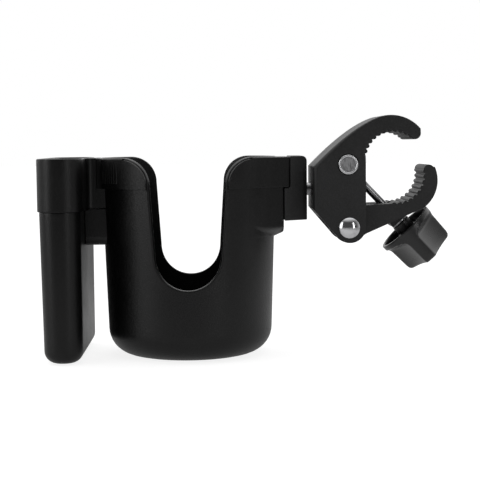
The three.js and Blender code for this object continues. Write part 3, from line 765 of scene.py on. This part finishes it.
# %% Rounded oblongs
def oblong(x0, x1, half, corner, z, steps=14):
    """A ring of points: a rounded oblong seen from above, with extra points beside its corners."""
    ring = []
    corners = ((x1, half, 0), (x0, half, 90), (x0, -half, 180), (x1, -half, 270))
    for x, y, first in corners:
        centre_x = x - math.copysign(corner, x - (x0 + x1) / 2)
        centre_y = y - math.copysign(corner, y)
        points = arc(centre_x, centre_y, corner, first, first + 90, steps)
        ring += [(px, py, z) for px, py in points]
    return ring


POCKET_LEFT, POCKET_RIGHT, POCKET_HALF, POCKET_CORNER = -75.2, -54.3, 42.1, 9.6
POCKET_WALL, POCKET_FLOOR, POCKET_DRAFT, POCKET_HEEL = 2.2, 2.4, 1.1, 6.2
COLLAR_LEFT, COLLAR_RIGHT, COLLAR_HALF, COLLAR_CORNER = -76.1, -52.9, 43.2, 10.8
COLLAR_FOOT, COLLAR_WALL = 77.2, 1.6
POCKET_TOP = span("phone_pocket", 2)[1]
SHOULDER = COLLAR_FOOT - SEAM


def pocket_ring(inset, z):
    """The pocket's oblong at a height, drawn in by inset and by the mould's draft."""
    draft = POCKET_DRAFT * max(1 - z / SHOULDER, 0)
    corner = max(POCKET_CORNER - inset, 1.2)
    return oblong(POCKET_LEFT + draft + inset, POCKET_RIGHT - inset, POCKET_HALF - draft - inset,
                  corner, z)


# %% The pocket
outside = []
for step in range(9):
    angle = math.pi / 2 * step / 8
    outside.append((POCKET_HEEL * (1 - math.sin(angle)), POCKET_HEEL * (1 - math.cos(angle))))
outside += [(0, z) for z in range(12, 76, 7)]
outside += [(0, SHOULDER - 0.4), (0.12, SHOULDER - 0.12), (0.4, SHOULDER), (1.3, SHOULDER)]
neck_inset, lip_inset = 1.0, 2.7
lip = [(neck_inset, SHOULDER + 0.3), (neck_inset, POCKET_TOP - 0.6),
       (neck_inset + 0.18, POCKET_TOP - 0.18), (neck_inset + 0.6, POCKET_TOP),
       (lip_inset - 0.5, POCKET_TOP), (lip_inset, POCKET_TOP - 0.5)]
inside = [(lip_inset, SHOULDER - 4), (POCKET_WALL, SHOULDER - 8)]
inside += [(POCKET_WALL, z) for z in range(62, 8, -9)]
inner_heel = POCKET_HEEL - POCKET_WALL
for step in range(7):
    angle = math.pi / 2 * step / 6
    inside.append((POCKET_WALL + inner_heel * (1 - math.cos(angle)),
                   POCKET_FLOOR + inner_heel * (1 - math.sin(angle))))
pocket = loft("pocket", [pocket_ring(inset, z) for inset, z in outside + lip + inside])
dress(pocket, moulded_black, "moulded_black", "holder", "phone_pocket")

# %% The collar and its neck
collar_rings = []
for wall, z in ((0.45, COLLAR_FOOT), (0.12, COLLAR_FOOT + 0.12), (0, COLLAR_FOOT + 0.45), (0, 86),
                (0, 95), (0, CUP_TOP - 0.6), (0.18, CUP_TOP - 0.18), (0.6, CUP_TOP), (1.2, CUP_TOP),
                (COLLAR_WALL, CUP_TOP - 0.4), (COLLAR_WALL, 90), (COLLAR_WALL, COLLAR_FOOT + 0.4),
                (1.2, COLLAR_FOOT)):
    collar_rings.append(oblong(COLLAR_LEFT + wall, COLLAR_RIGHT - wall, COLLAR_HALF - wall,
                               COLLAR_CORNER - wall, z))
collar = loft("collar", collar_rings, closed=True)
NECK_FILLET = 3.4
neck_side = [(x, -y) for x, y in arc(-49.4, NECK_HALF + NECK_FILLET, NECK_FILLET, 270, 180, 8)]
neck_outline = [*reversed(neck_side), (NECK_END, -NECK_HALF), (NECK_END, NECK_HALF),
                *[(x, -y) for x, y in neck_side], (-53.5, NECK_HALF + NECK_FILLET),
                (-53.5, -NECK_HALF - NECK_FILLET)]
neck = prism_up("neck", neck_outline, TONGUE_TOP + GAP, CUP_TOP - 0.1)
foot_half = NECK_HALF - SEAM
foot = prism_up("foot", [(-49, -foot_half), (-40, -foot_half), (-40, foot_half), (-49, foot_half)],
                TONGUE_TOP + GAP + SEAM, BAND_FOOT - SEAM)
cut(foot, wall_core("core", -SEAM))
join(collar, [neck, foot])
dress(collar, moulded_black, "moulded_black", "holder", "pocket_collar")

# %% [markdown]
# ## Bracket and swivel
# The bracket carries on the nose's taper and ends in a flat face that the clamp turns against. Its
# outline is drawn from the front, and its depth shrinks towards the clamp. The swivel bolt goes
# through it, with a spring washer, a washer and a nut in a pocket inside.

# %% The bracket
def tapered_prism(name, outline, half_at):
    """A front outline whose depth to each side is half_at(x)."""
    return between(name, *([(x, side * half_at(x), z) for x, z in outline] for side in (-1, 1)))


BRACKET_FOOT, BRACKET_END = 70.4, span("clamp_bracket", 0)[1]
SWIVEL_BORE = 3.65
bracket_outline = [(NOSE_REACH + GAP, BRACKET_FOOT), (BRACKET_END, BRACKET_FOOT),
                   *arc(BRACKET_END - 2.7, CUP_TOP - 2.7, 2.7, 0, 90, 8),
                   (BAND_NOSE_REACH + GAP, CUP_TOP), (BAND_NOSE_REACH + GAP, BAND_FOOT - GAP),
                   (NOSE_REACH + GAP, BAND_FOOT - GAP)]
bracket = tapered_prism("bracket", bracket_outline, nose_half)
soften(bracket, 0.6, 30, 3)
cut(bracket,
    box("nut_room", 45, BRACKET_END - 4, -7.6, 7.6, SWIVEL_HEIGHT - 7.6, SWIVEL_HEIGHT + 7.6),
    rod("bore", SWIVEL_BORE, (0, 0, SWIVEL_HEIGHT), RIGHT, 45, 70))
dress(bracket, jaw_black, "jaw_black", "holder", "clamp_bracket")


# %% Swivel bolt, nut and washers
def hexagon(name, flats, origin, direction, start, end, chamfer=0.5):
    """A six-sided head or nut whose corners are turned off at both ends."""
    corner = flats / math.cos(math.pi / 6) / 2
    body = turned(name, [(corner, start), (corner, end)], origin, direction, 6)
    profile = [(flats / 2 - 0.1, start), (corner + 0.1, start + chamfer),
               (corner + 0.1, end - chamfer), (flats / 2 - 0.1, end)]
    crown = turned("crown", profile, origin, direction, 48)
    modify(body, "BOOLEAN", operation="INTERSECT", object=crown, solver="EXACT")
    settle(body)
    bpy.data.objects.remove(crown)
    return body


swivel_start = (0, 0, SWIVEL_HEIGHT)
bolt_low, bolt_high = span("swivel_bolt", 0)
swivel_profile = [(0, bolt_low), (2.5, bolt_low), (3, bolt_low + 0.5), (3, BRACKET_END - 3.8),
                  (3.35, BRACKET_END - 3.6), (3.35, bolt_high - 3), (0, bolt_high - 3)]
swivel = turned("swivel_pin", swivel_profile, swivel_start, RIGHT, 48)
join(swivel, [hexagon("head", 9.7, swivel_start, RIGHT, bolt_high - 4, bolt_high)])
dress(swivel, zinc_steel, "zinc_steel", "clamp_frame", "swivel_bolt")


def washer(name, node, body, outer, inner, along, origin=swivel_start, direction=RIGHT):
    """A flat ring with broken edges; along gives its two faces on the axis."""
    low, high = along
    edge = 0.15
    profile = [(inner, low), (outer - edge, low), (outer, low + edge), (outer, high - edge),
               (outer - edge, high), (inner, high)]
    ring = turned(name, profile, origin, direction, 56, closed=True)
    return dress(ring, zinc_steel, "zinc_steel", body, node)


for name, node, body, outer, inner in (("spring_ring", "swivel_spring_washer", "holder", 5.8, 3.6),
                                       ("tail_ring", "swivel_washer", "clamp_frame", 6.2, 3.3)):
    washer(name, node, body, outer, inner, span(node, 0))
nut_low, nut_high = span("swivel_nut", 0)
nut = hexagon("lock_nut", 10, swivel_start, RIGHT, nut_low, nut_high)
cut(nut, rod("bore", 3.3, swivel_start, RIGHT, nut_low - 2, nut_high + 2))
dress(nut, zinc_steel, "zinc_steel", "clamp_frame", "swivel_nut")

# %% [markdown]
# ## The fixed jaw
# The fixed jaw is a U-shaped moulding: two side plates, a web on the left that the swivel bolt
# passes through, and an arm that curls over the tube. Its outline is drawn once and given depth,
# the room between the plates is cut away, and a first Bevel, led by edge weights, rounds
# the web's corners broadly before a second one rounds everything else finely. The teeth are rods
# on the arc.

# %% Jaw helpers
JAW_HALF, LEVER_HALF, FLANGE = 19.5, 15.1, 4
PIVOT = (83.5, 66.4)
BARREL = (83, 99.3)
pivot_start, bolt_start = (Vector((x, 0, z)) for x, z in (PIVOT, BARREL))
FIXED_ARC = (106.4, 101.9, 14.9)
MOVING_ARC = (108.3, 93.6, 15.3)
TOOTH_DEPTH, TOOTH_PITCH = 0.9, 3.0


def curve(first, pull, last, steps):
    """Points of a quadratic curve after its first point."""
    made = []
    for step in range(1, steps + 1):
        t = step / steps
        made.append(tuple(a * (1 - t) ** 2 + 2 * b * t * (1 - t) + c * t * t
                          for a, b, c in zip(first, pull, last)))
    return made


def broad_bevel(piece, width, share):
    """Rounds each sharp edge by share(middle) of the width, however short its neighbours are."""
    tidy = bmesh.new()
    tidy.from_mesh(piece.data)
    layer = tidy.edges.layers.float.new("bevel_weight_edge")
    for edge in tidy.edges:
        middle = (edge.verts[0].co + edge.verts[1].co) / 2 / MM
        sharp = len(edge.link_faces) == 2 and edge.calc_face_angle() > math.radians(34)
        edge[layer] = share(middle) if sharp else 0.0
    tidy.to_mesh(piece.data)
    tidy.free()
    modify(piece, "BEVEL", width=width * MM, segments=6, limit_method="WEIGHT", use_clamp_overlap=False)
    return settle(piece)


def teeth(name, centre, first, last, half):
    """Half-round ridges along the depth of a jaw, on its arc from one angle to another."""
    x, z, radius = centre
    sweep = math.radians(last - first)
    count = round(abs(sweep) * radius / TOOTH_PITCH) + 1
    ridge = 1.15
    return run_group(empty_piece(name), rods, Count=count, Radius=(radius + ridge - TOOTH_DEPTH) * MM,
                     First=math.radians(first), Sweep=sweep, Thickness=ridge * MM, Length=2 * half * MM,
                     Centre=(x * MM, 0, z * MM), Tilt=(math.pi / 2, 0, 0), Finish=jaw_black)


# %% The fixed jaw
WEB_LEFT = span("fixed_jaw", 0)[0]
WEB_RIGHT = WEB_LEFT + FLANGE
knuckle = arc(PIVOT[0] + 0.3, PIVOT[1] + 0.4, 8.3, 0, -138, 20)
back_of_arm = curve((65.6, 99.1), (83.8, 117.6), (97, 123), 20)[2:]
fixed_outline = [(WEB_LEFT, 76.2), (WEB_LEFT, 98.4), *back_of_arm,
                 *arc(105, 104.5, 20.2, 106, 40, 20), *arc(117.5, 115.1, 3.1, 5, -125, 12),
                 *arc(*FIXED_ARC, 50, 168, 40), (92.1, 103.6), *knuckle]
fixed_jaw = prism("tube_jaw_fixed", fixed_outline, -JAW_HALF, JAW_HALF)


def web_share(spot):
    """1 round the web's corners, fading along the back of the arm; 0 on every other edge."""
    on_back = spot.z > 75 and abs(spot.y) > 19 and spot.z > spot.x + 10.5
    return min(max((108 - spot.x) / 36, 0), 1) if on_back else 0.0


broad_bevel(fixed_jaw, 2.4, web_share)
soften(fixed_jaw, 0.45, 40, 3)
room = [(WEB_RIGHT, 60), (WEB_RIGHT, 96.6), (WEB_RIGHT, 97.4),
        *curve((WEB_RIGHT, 97.4), (82.6, 114.2), (96.3, 118.6), 14),
        *arc(FIXED_ARC[0], FIXED_ARC[1], FIXED_ARC[2] + 2.8, 122, 172, 12), (88.6, 101.6),
        (130, 101.6), (130, 40), (60, 40), (60, 60)]
cut(fixed_jaw, prism("room", room, FLANGE - JAW_HALF, JAW_HALF - FLANGE),
    rod("swivel_hole", SWIVEL_BORE, swivel_start, RIGHT, 60, 75),
    rod("barrel_hole", 5.55, bolt_start, BACK, -30, 30, 64),
    rod("rivet_hole", 3.3, pivot_start, BACK, -30, 30))
fuse(fixed_jaw, teeth("fixed_teeth", FIXED_ARC, 54, 164, JAW_HALF - 0.3))
dress(fixed_jaw, jaw_black, "jaw_black", "clamp_frame", "fixed_jaw")

# %% [markdown]
# ## The moving jaw
# The moving jaw turns on the rivet between the plates and curls up under the tube. It has a slot
# that the bolt swings in and a round seat for the half-round saddle that the knob presses on.

# %% The swing bolt's own frame
BOLT_FALL = math.radians(46.6)            # the bolt leaves the barrel this far below level
bolt_way = Vector((math.cos(BOLT_FALL), 0, -math.sin(BOLT_FALL)))
SADDLE_AT, SADDLE_RADIUS, BOLT_RADIUS = 40.4, 5, 2
saddle_spot = bolt_start + bolt_way * SADDLE_AT
swing_frame = Matrix((
    (-math.sin(BOLT_FALL), 0, math.cos(BOLT_FALL), BARREL[0] * MM),
    (0, 1, 0, 0),
    (-math.cos(BOLT_FALL), 0, -math.sin(BOLT_FALL), BARREL[1] * MM),
    (0, 0, 0, 1)))
print("saddle centre:", [round(value, 2) for value in saddle_spot])

# %% The moving jaw
moving_outline = [*arc(*PIVOT, 8, 110, 294, 24), (92.7, 63), *arc(112.5, 90.5, 17.7, -54, 24, 24),
                  *arc(125.6, 96, 2.8, 20, 170, 12), *arc(*MOVING_ARC, 11, -97, 40), (105.2, 78.5),
                  (93.1, 77.9)]
moving_jaw = prism("tube_jaw_moving", moving_outline, -LEVER_HALF, LEVER_HALF)
soften(moving_jaw, 0.45, 40, 3)
fuse(moving_jaw, teeth("moving_teeth", MOVING_ARC, 7, -93, LEVER_HALF - 0.3))
lightening = [(60, 40), (96, 66.6), (98.5, 75.2), (88, 74.6), (82, 90), (60, 90)]
slot_half = BOLT_RADIUS + 0.7
fan = []
for lean, sign, distance in ((-13, -1, -8), (-13, -1, 22), (13, 1, 22), (13, 1, -8)):
    angle = math.pi - BOLT_FALL + math.radians(lean)
    fan.append((saddle_spot.x + distance * math.cos(angle) - sign * slot_half * math.sin(angle),
                saddle_spot.z + distance * math.sin(angle) + sign * slot_half * math.cos(angle)))
cut(moving_jaw, prism("lightening", lightening, 4 - LEVER_HALF, LEVER_HALF - 4),
    prism("bolt_slot", fan, -slot_half, slot_half),
    rod("seat", SADDLE_RADIUS + 0.5, saddle_spot, BACK, -8.4, 8.4, 64),
    rod("rivet_hole", 4.6, pivot_start, BACK, -20, 20))
dress(moving_jaw, jaw_black, "jaw_black", "jaw_lever", "moving_jaw")

# %% [markdown]
# ## Rivet, barrel nut and saddle
# Everything round is a turned profile. The rivet has a polished dome in front and a formed tail
# behind; the barrel nut shows a bright ring with a dished, brushed end.

# %% Rivet, washer and spacer
rivet_low, rivet_high = span("pivot_rivet", 1)
TO_FRONT = (0, -1, 0)
DOME_HALF, DOME_RADIUS = 5.4, 8.2
dome = []
for step in range(13):
    angle = math.asin(DOME_HALF / DOME_RADIUS) * (1 - step / 12)
    dome.append((DOME_RADIUS * math.sin(angle), -rivet_low - DOME_RADIUS * (1 - math.cos(angle))))
rivet_profile = [(0, -rivet_high), (3.4, -rivet_high), (4.1, 0.3 - rivet_high), (4.3, 0.8 - rivet_high),
                 (4.3, -JAW_HALF - 1.6), (3, -JAW_HALF - 1.6), (3, JAW_HALF + GAP),
                 (5.2, JAW_HALF + GAP), (DOME_HALF, JAW_HALF + 0.45), *dome]
rivet = turned("rivet", rivet_profile, pivot_start, TO_FRONT, 72)
dress(rivet, bright_plate, "bright_plate", "clamp_frame", "pivot_rivet")
washer("rivet_ring", "pivot_washer", "clamp_frame", 6, 3.3, span("pivot_washer", 1), pivot_start, BACK)
spacer = turned("spacer_tube", [(3.3, -LEVER_HALF), (4.3, -LEVER_HALF), (4.3, LEVER_HALF),
                                (3.3, LEVER_HALF)], pivot_start, BACK, 48, closed=True)
nylon = black_plastic("nylon", 0.5, 0.6, 0.4, 2600, 0.02, 0.5)
dress(spacer, nylon, "nylon", "clamp_frame", "pivot_spacer")
print("dome foot:", round(dome[0][1], 2))

# %% Barrel nut
end = span("barrel_nut", 1)[1]
barrel_profile = [(0, 0.4 - end), (3.45, 0.4 - end), (3.6, 0.5 - end), (3.6, 0.9 - end),
                  (3.95, 0.9 - end),
                  *[(4.55 + 0.6 * math.cos(turn), 0.6 - end - 0.6 * math.sin(turn))
                    for turn in (math.pi * (1 - step / 8) for step in range(9))]]
barrel_profile += [(radius, -station) for radius, station in reversed(barrel_profile)]
barrel = turned("swing_barrel", barrel_profile, bolt_start, BACK, 72)
cut(barrel, rod("thread_hole", BOLT_RADIUS + GAP, bolt_start, bolt_way, -12, 12))
brushed = brushed_face("brushed_end", bolt_start * MM, 3.8 * MM)
dress(barrel, brushed, "barrel_bright", "swing_nut", "barrel_nut")

# %% Saddle and thrust washer
saddle = rod("rocking_saddle", SADDLE_RADIUS, saddle_spot, BACK, -7.9, 7.9, 64)
flat_box = box("flat", -12, 12, -12, 12, SADDLE_AT + 1.2, SADDLE_AT + 20)
flat_box.data.transform(swing_frame)
cut(saddle, flat_box, rod("bolt_hole", BOLT_RADIUS + GAP, bolt_start, bolt_way, 20, 60))
soften(saddle, 0.3, 40, 2)
dress(saddle, jaw_black, "jaw_black", "thrust", "thrust_saddle")
thrust_at = SADDLE_AT + 1.5
washer("thrust_ring", "thrust_washer", "thrust", 4.8, 2.3, (thrust_at, thrust_at + 1), bolt_start,
       bolt_way)

# %% [markdown]
# ## Bolt and knob
# The bolt's thread is a helix. A swept section would fold where it closes, so a small triangular
# profile follows a spiral curve inside Geometry Nodes, from named inputs for radius, pitch and
# turns. The knob starts as a plain turned blank with a hollow skirt; a second tree presses its
# three flutes in by rule, each flute being a big circle that the blank is cut back to.

# %% Thread and bolt
def thread_group():
    """A helical ridge about the Z axis."""
    group, tree, given = new_group("thread", {"Radius": NUMBER, "Pitch": NUMBER, "Turns": NUMBER,
                                              "Depth": NUMBER, "Finish": MATERIAL})
    spiral = tree.node("GeometryNodeCurveSpiral", {}, {
        "Resolution": 32, "Rotations": given["Turns"], "Start Radius": given["Radius"],
        "End Radius": given["Radius"], "Height": given["Pitch"] * given["Turns"]})
    ridge = tree.node("GeometryNodeCurvePrimitiveCircle", {"mode": "RADIUS"},
                      {"Resolution": 4, "Radius": given["Depth"]})
    swept = tree.node("GeometryNodeCurveToMesh", {}, {"Curve": spiral, "Profile Curve": ridge,
                                                      "Fill Caps": True})
    end_group(tree, swept, given["Finish"])
    return group


BOLT_TAIL, THREAD_PITCH, THREAD_TURNS = 2.6, 0.7, 22
KNOB_AT = 46.4
head_at = KNOB_AT + 6
thread = run_group(empty_piece("thread"), thread_group(), Radius=(BOLT_RADIUS - 0.22) * MM,
                   Pitch=THREAD_PITCH * MM, Turns=float(THREAD_TURNS), Depth=0.3 * MM,
                   Finish=zinc_steel)
thread.data.transform(Matrix.Translation((0, 0, (0.6 - BOLT_TAIL) * MM)))
thread_end = THREAD_TURNS * THREAD_PITCH - BOLT_TAIL + 0.4
bolt_profile = [(0, -BOLT_TAIL), (1.3, -BOLT_TAIL), (1.65, 0.5 - BOLT_TAIL), (1.65, thread_end),
                (BOLT_RADIUS, thread_end + 0.5), (BOLT_RADIUS, head_at + 0.5), (0, head_at + 0.5)]
bolt = turned("tightening_bolt", bolt_profile, ORIGIN, UP, 48)
join(bolt, [thread, hexagon("bolt_head", 7, ORIGIN, UP, head_at, head_at + 2.8)])
bolt.data.transform(swing_frame)
dress(bolt, zinc_steel, "zinc_steel", "screw", "clamp_bolt")


# %% The knob
KNOB_RADIUS, KNOB_HEIGHT, KNOB_CORNER, KNOB_PHASE = 15.9, 20.8, 2.5, 39.5
FLUTE_RADIUS, FLUTE_CENTRE = 51, 60.3


def flute_group():
    """Presses flutes into a turned blank whose axis is Z."""
    group, tree, given = new_group("press_flutes", {
        "Flutes": NUMBER, "Phase": NUMBER, "Radius": NUMBER, "Flute": NUMBER, "Centre": NUMBER,
        "Start": NUMBER, "Finish": MATERIAL})

    def maths(operation, first, second=0.0, third=0.0):
        return tree.node("ShaderNodeMath", {"operation": operation}, {0: first, 1: second, 2: third})

    position = tree.node("GeometryNodeInputPosition")
    across, deep, height = (tree.node("ShaderNodeSeparateXYZ", {}, {0: position}, output=i)
                            for i in range(3))
    reach = (across * across + deep * deep) ** 0.5
    step = TURN / given["Flutes"]
    turned_by = maths("ARCTAN2", deep, across) - given["Phase"]
    offset = maths("WRAP", turned_by, step, 0.0) - step * 0.5
    slant = given["Centre"] * maths("SINE", offset)
    depth = maths("MAXIMUM", given["Flute"] ** 2 - slant * slant, 0.0) ** 0.5
    wall = given["Centre"] * maths("COSINE", offset) - depth
    fade = 1 - tree.smooth((height - given["Start"]) * 1000, 0.0, 6.8)
    lifted = wall + fade * fade * 0.0075
    limit = maths("SMOOTH_MIN", lifted, given["Radius"], 0.0009)
    share = limit / given["Radius"]
    moved = tree.node("ShaderNodeCombineXYZ", {}, {0: across * share, 1: deep * share, 2: height})
    pressed = tree.node("GeometryNodeSetPosition", {}, {"Geometry": given["Geometry"],
                                                        "Position": moved})
    end_group(tree, pressed, given["Finish"])
    return group


blank_profile = [(radius, KNOB_HEIGHT) for radius in (0, 6, 11, 12.4)]
blank_profile += arc(12.4, KNOB_HEIGHT - KNOB_CORNER, KNOB_CORNER, 75, 0, 5)
skirt_heights = [*range(18, 9, -1), *(9.2 - 0.8 * step for step in range(8)), 2.9, 2.2, 1.5, 0.9]
blank_profile += [(15 + 0.9 * (18.8 - z) / 18.8, z) for z in skirt_heights]
blank_profile += [(15.85, 0.5), (15.7, 0.15), (15.4, 0), (14.5, 0), (14.15, 0.15), (14, 0.5)]
blank_profile += [(13.9, z) for z in (1.5, 2.5, 3.5, 4.5, 5.5, 6.5, 7.5, 9, 11, 13)]
blank_profile += [(13.2, 14), (11, 14.4), (6, 14.5), (0, 14.5)]
blank = turned("lobed_knob", blank_profile[::-1], ORIGIN, UP, 192)
knob = run_group(blank, flute_group(), Flutes=3.0, Phase=math.radians(KNOB_PHASE),
                 Radius=KNOB_RADIUS * MM, Flute=FLUTE_RADIUS * MM, Centre=FLUTE_CENTRE * MM,
                 Start=1.6 * MM, Finish=knob_black)
knob.data.transform(Matrix.Translation((0, 0, KNOB_AT * MM)))
hub_start = thrust_at + 1.3
hub_profile = [(2.3, hub_start), (4.7, hub_start), (5, hub_start + 0.3), (5, KNOB_AT + 1.5),
               (5.6, KNOB_AT + 2), (5.6, KNOB_AT + 15), (2.3, KNOB_AT + 15)]
hub = turned("hub", hub_profile, ORIGIN, UP, 64, closed=True)
join(knob, [hub])
knob.data.transform(swing_frame)
dress(knob, knob_black, "knob_black", "screw", "knob")

# %% [markdown]
# ## Floor, world and lights
# A pale floor carries the object, and a white world stands behind it, as a product is shown in a
# light tent. The floor also glows, more strongly close to the object: painted light that stands in
# for light thrown up onto the object's underside. Gloss on black plastic shows only what it mirrors,
# so what surrounds the object is what draws it: the tent's front, where the camera looks in, is
# darker, and two tall soft lights stand to the left and right of it.

# %% Floor
FLOOR_HALF = 6000
floor_corners = [(-FLOOR_HALF, -FLOOR_HALF, -0.4), (FLOOR_HALF, -FLOOR_HALF, -0.4),
                 (FLOOR_HALF, FLOOR_HALF, -0.4), (-FLOOR_HALF, FLOOR_HALF, -0.4)]
floor_mesh = mesh_object("floor", floor_corners, [(0, 1, 2, 3)])
floor_finish, floor_tree, floor_surface = principled("floor_white")
floor_tone = floor_tree.smooth(noise(floor_tree, place(floor_tree), 3, 2), 0.3, 0.7)
floor_reach = floor_tree.node("ShaderNodeVectorMath", {"operation": "LENGTH"}, {0: place(floor_tree)},
                              output="Value")
# Painted glow: for rays other than the camera's, the floor emits most within 0.15 m of the object and
# fades by 0.5 m, lighting the object's underside as no lamp does; the camera itself sees the floor glow
# evenly.
painted_floor_glow = floor_tree.smooth(floor_reach, 0.15, 0.5, 0.32, 0.04)
floor_seen = floor_tree.node("ShaderNodeLightPath", output="Is Camera Ray")
feed(floor_tree, floor_surface, Roughness=0.9, Specular_IOR_Level=0.05,
     Base_Color=mix_colour(floor_tree, floor_tone, grey(0.3), grey(0.32)), Emission_Color=(1, 1, 1, 1),
     Emission_Strength=painted_floor_glow + floor_seen * (0.85 - painted_floor_glow))
floor_mesh.data.materials.append(floor_finish)

# %% World
world = bpy.data.worlds.new("light_tent")
bpy.context.scene.world = world
world.use_nodes = True
air = Tree(world.node_tree)
backdrop = world.node_tree.nodes["Background"]
toward = air.node("ShaderNodeTexCoord", output="Generated")
front = air.node("ShaderNodeSeparateXYZ", {}, {0: toward}, output=1)
up = air.node("ShaderNodeSeparateXYZ", {}, {0: toward}, output=2)
tent = air.smooth(front, -0.6, 0.0, 0.07, 0.6) + air.smooth(front, -0.05, 0.4, 0.0, 0.4)
tent = tent + air.smooth(up, 0.6, 0.95, 0.0, 0.6)
seen = air.node("ShaderNodeLightPath", output="Is Camera Ray")
level = tent + seen * (1.0 - tent)
air.tree.links.new(level.socket, backdrop.inputs["Strength"])
backdrop.inputs["Color"].default_value = (1, 1, 1, 1)


# %% Lights
def soft_light(name, spot, target, size, power):
    lamp = bpy.data.lights.new(name, "AREA")
    lamp.shape = "RECTANGLE"
    lamp.size, lamp.size_y = size
    lamp.energy = power
    stand = bpy.data.objects.new(name, lamp)
    bpy.context.scene.collection.objects.link(stand)
    stand.location = spot
    stand.rotation_euler = (Vector(target) - Vector(spot)).to_track_quat("-Z", "Y").to_euler()


middle = (0.03, 0, 0.07)
soft_light("left_softbox", (-1.13, -0.62, 0.42), middle, (0.5, 1.0), 4.2)
soft_light("right_softbox", (0.84, -1.08, 0.42), middle, (0.2, 1.0), 2.2)
soft_light("top_softbox", (0.0, 0.3, 1.4), middle, (1.4, 1.0), 2)
bpy.context.scene.view_settings.view_transform = "Standard"
bpy.context.scene.view_settings.look = "None"
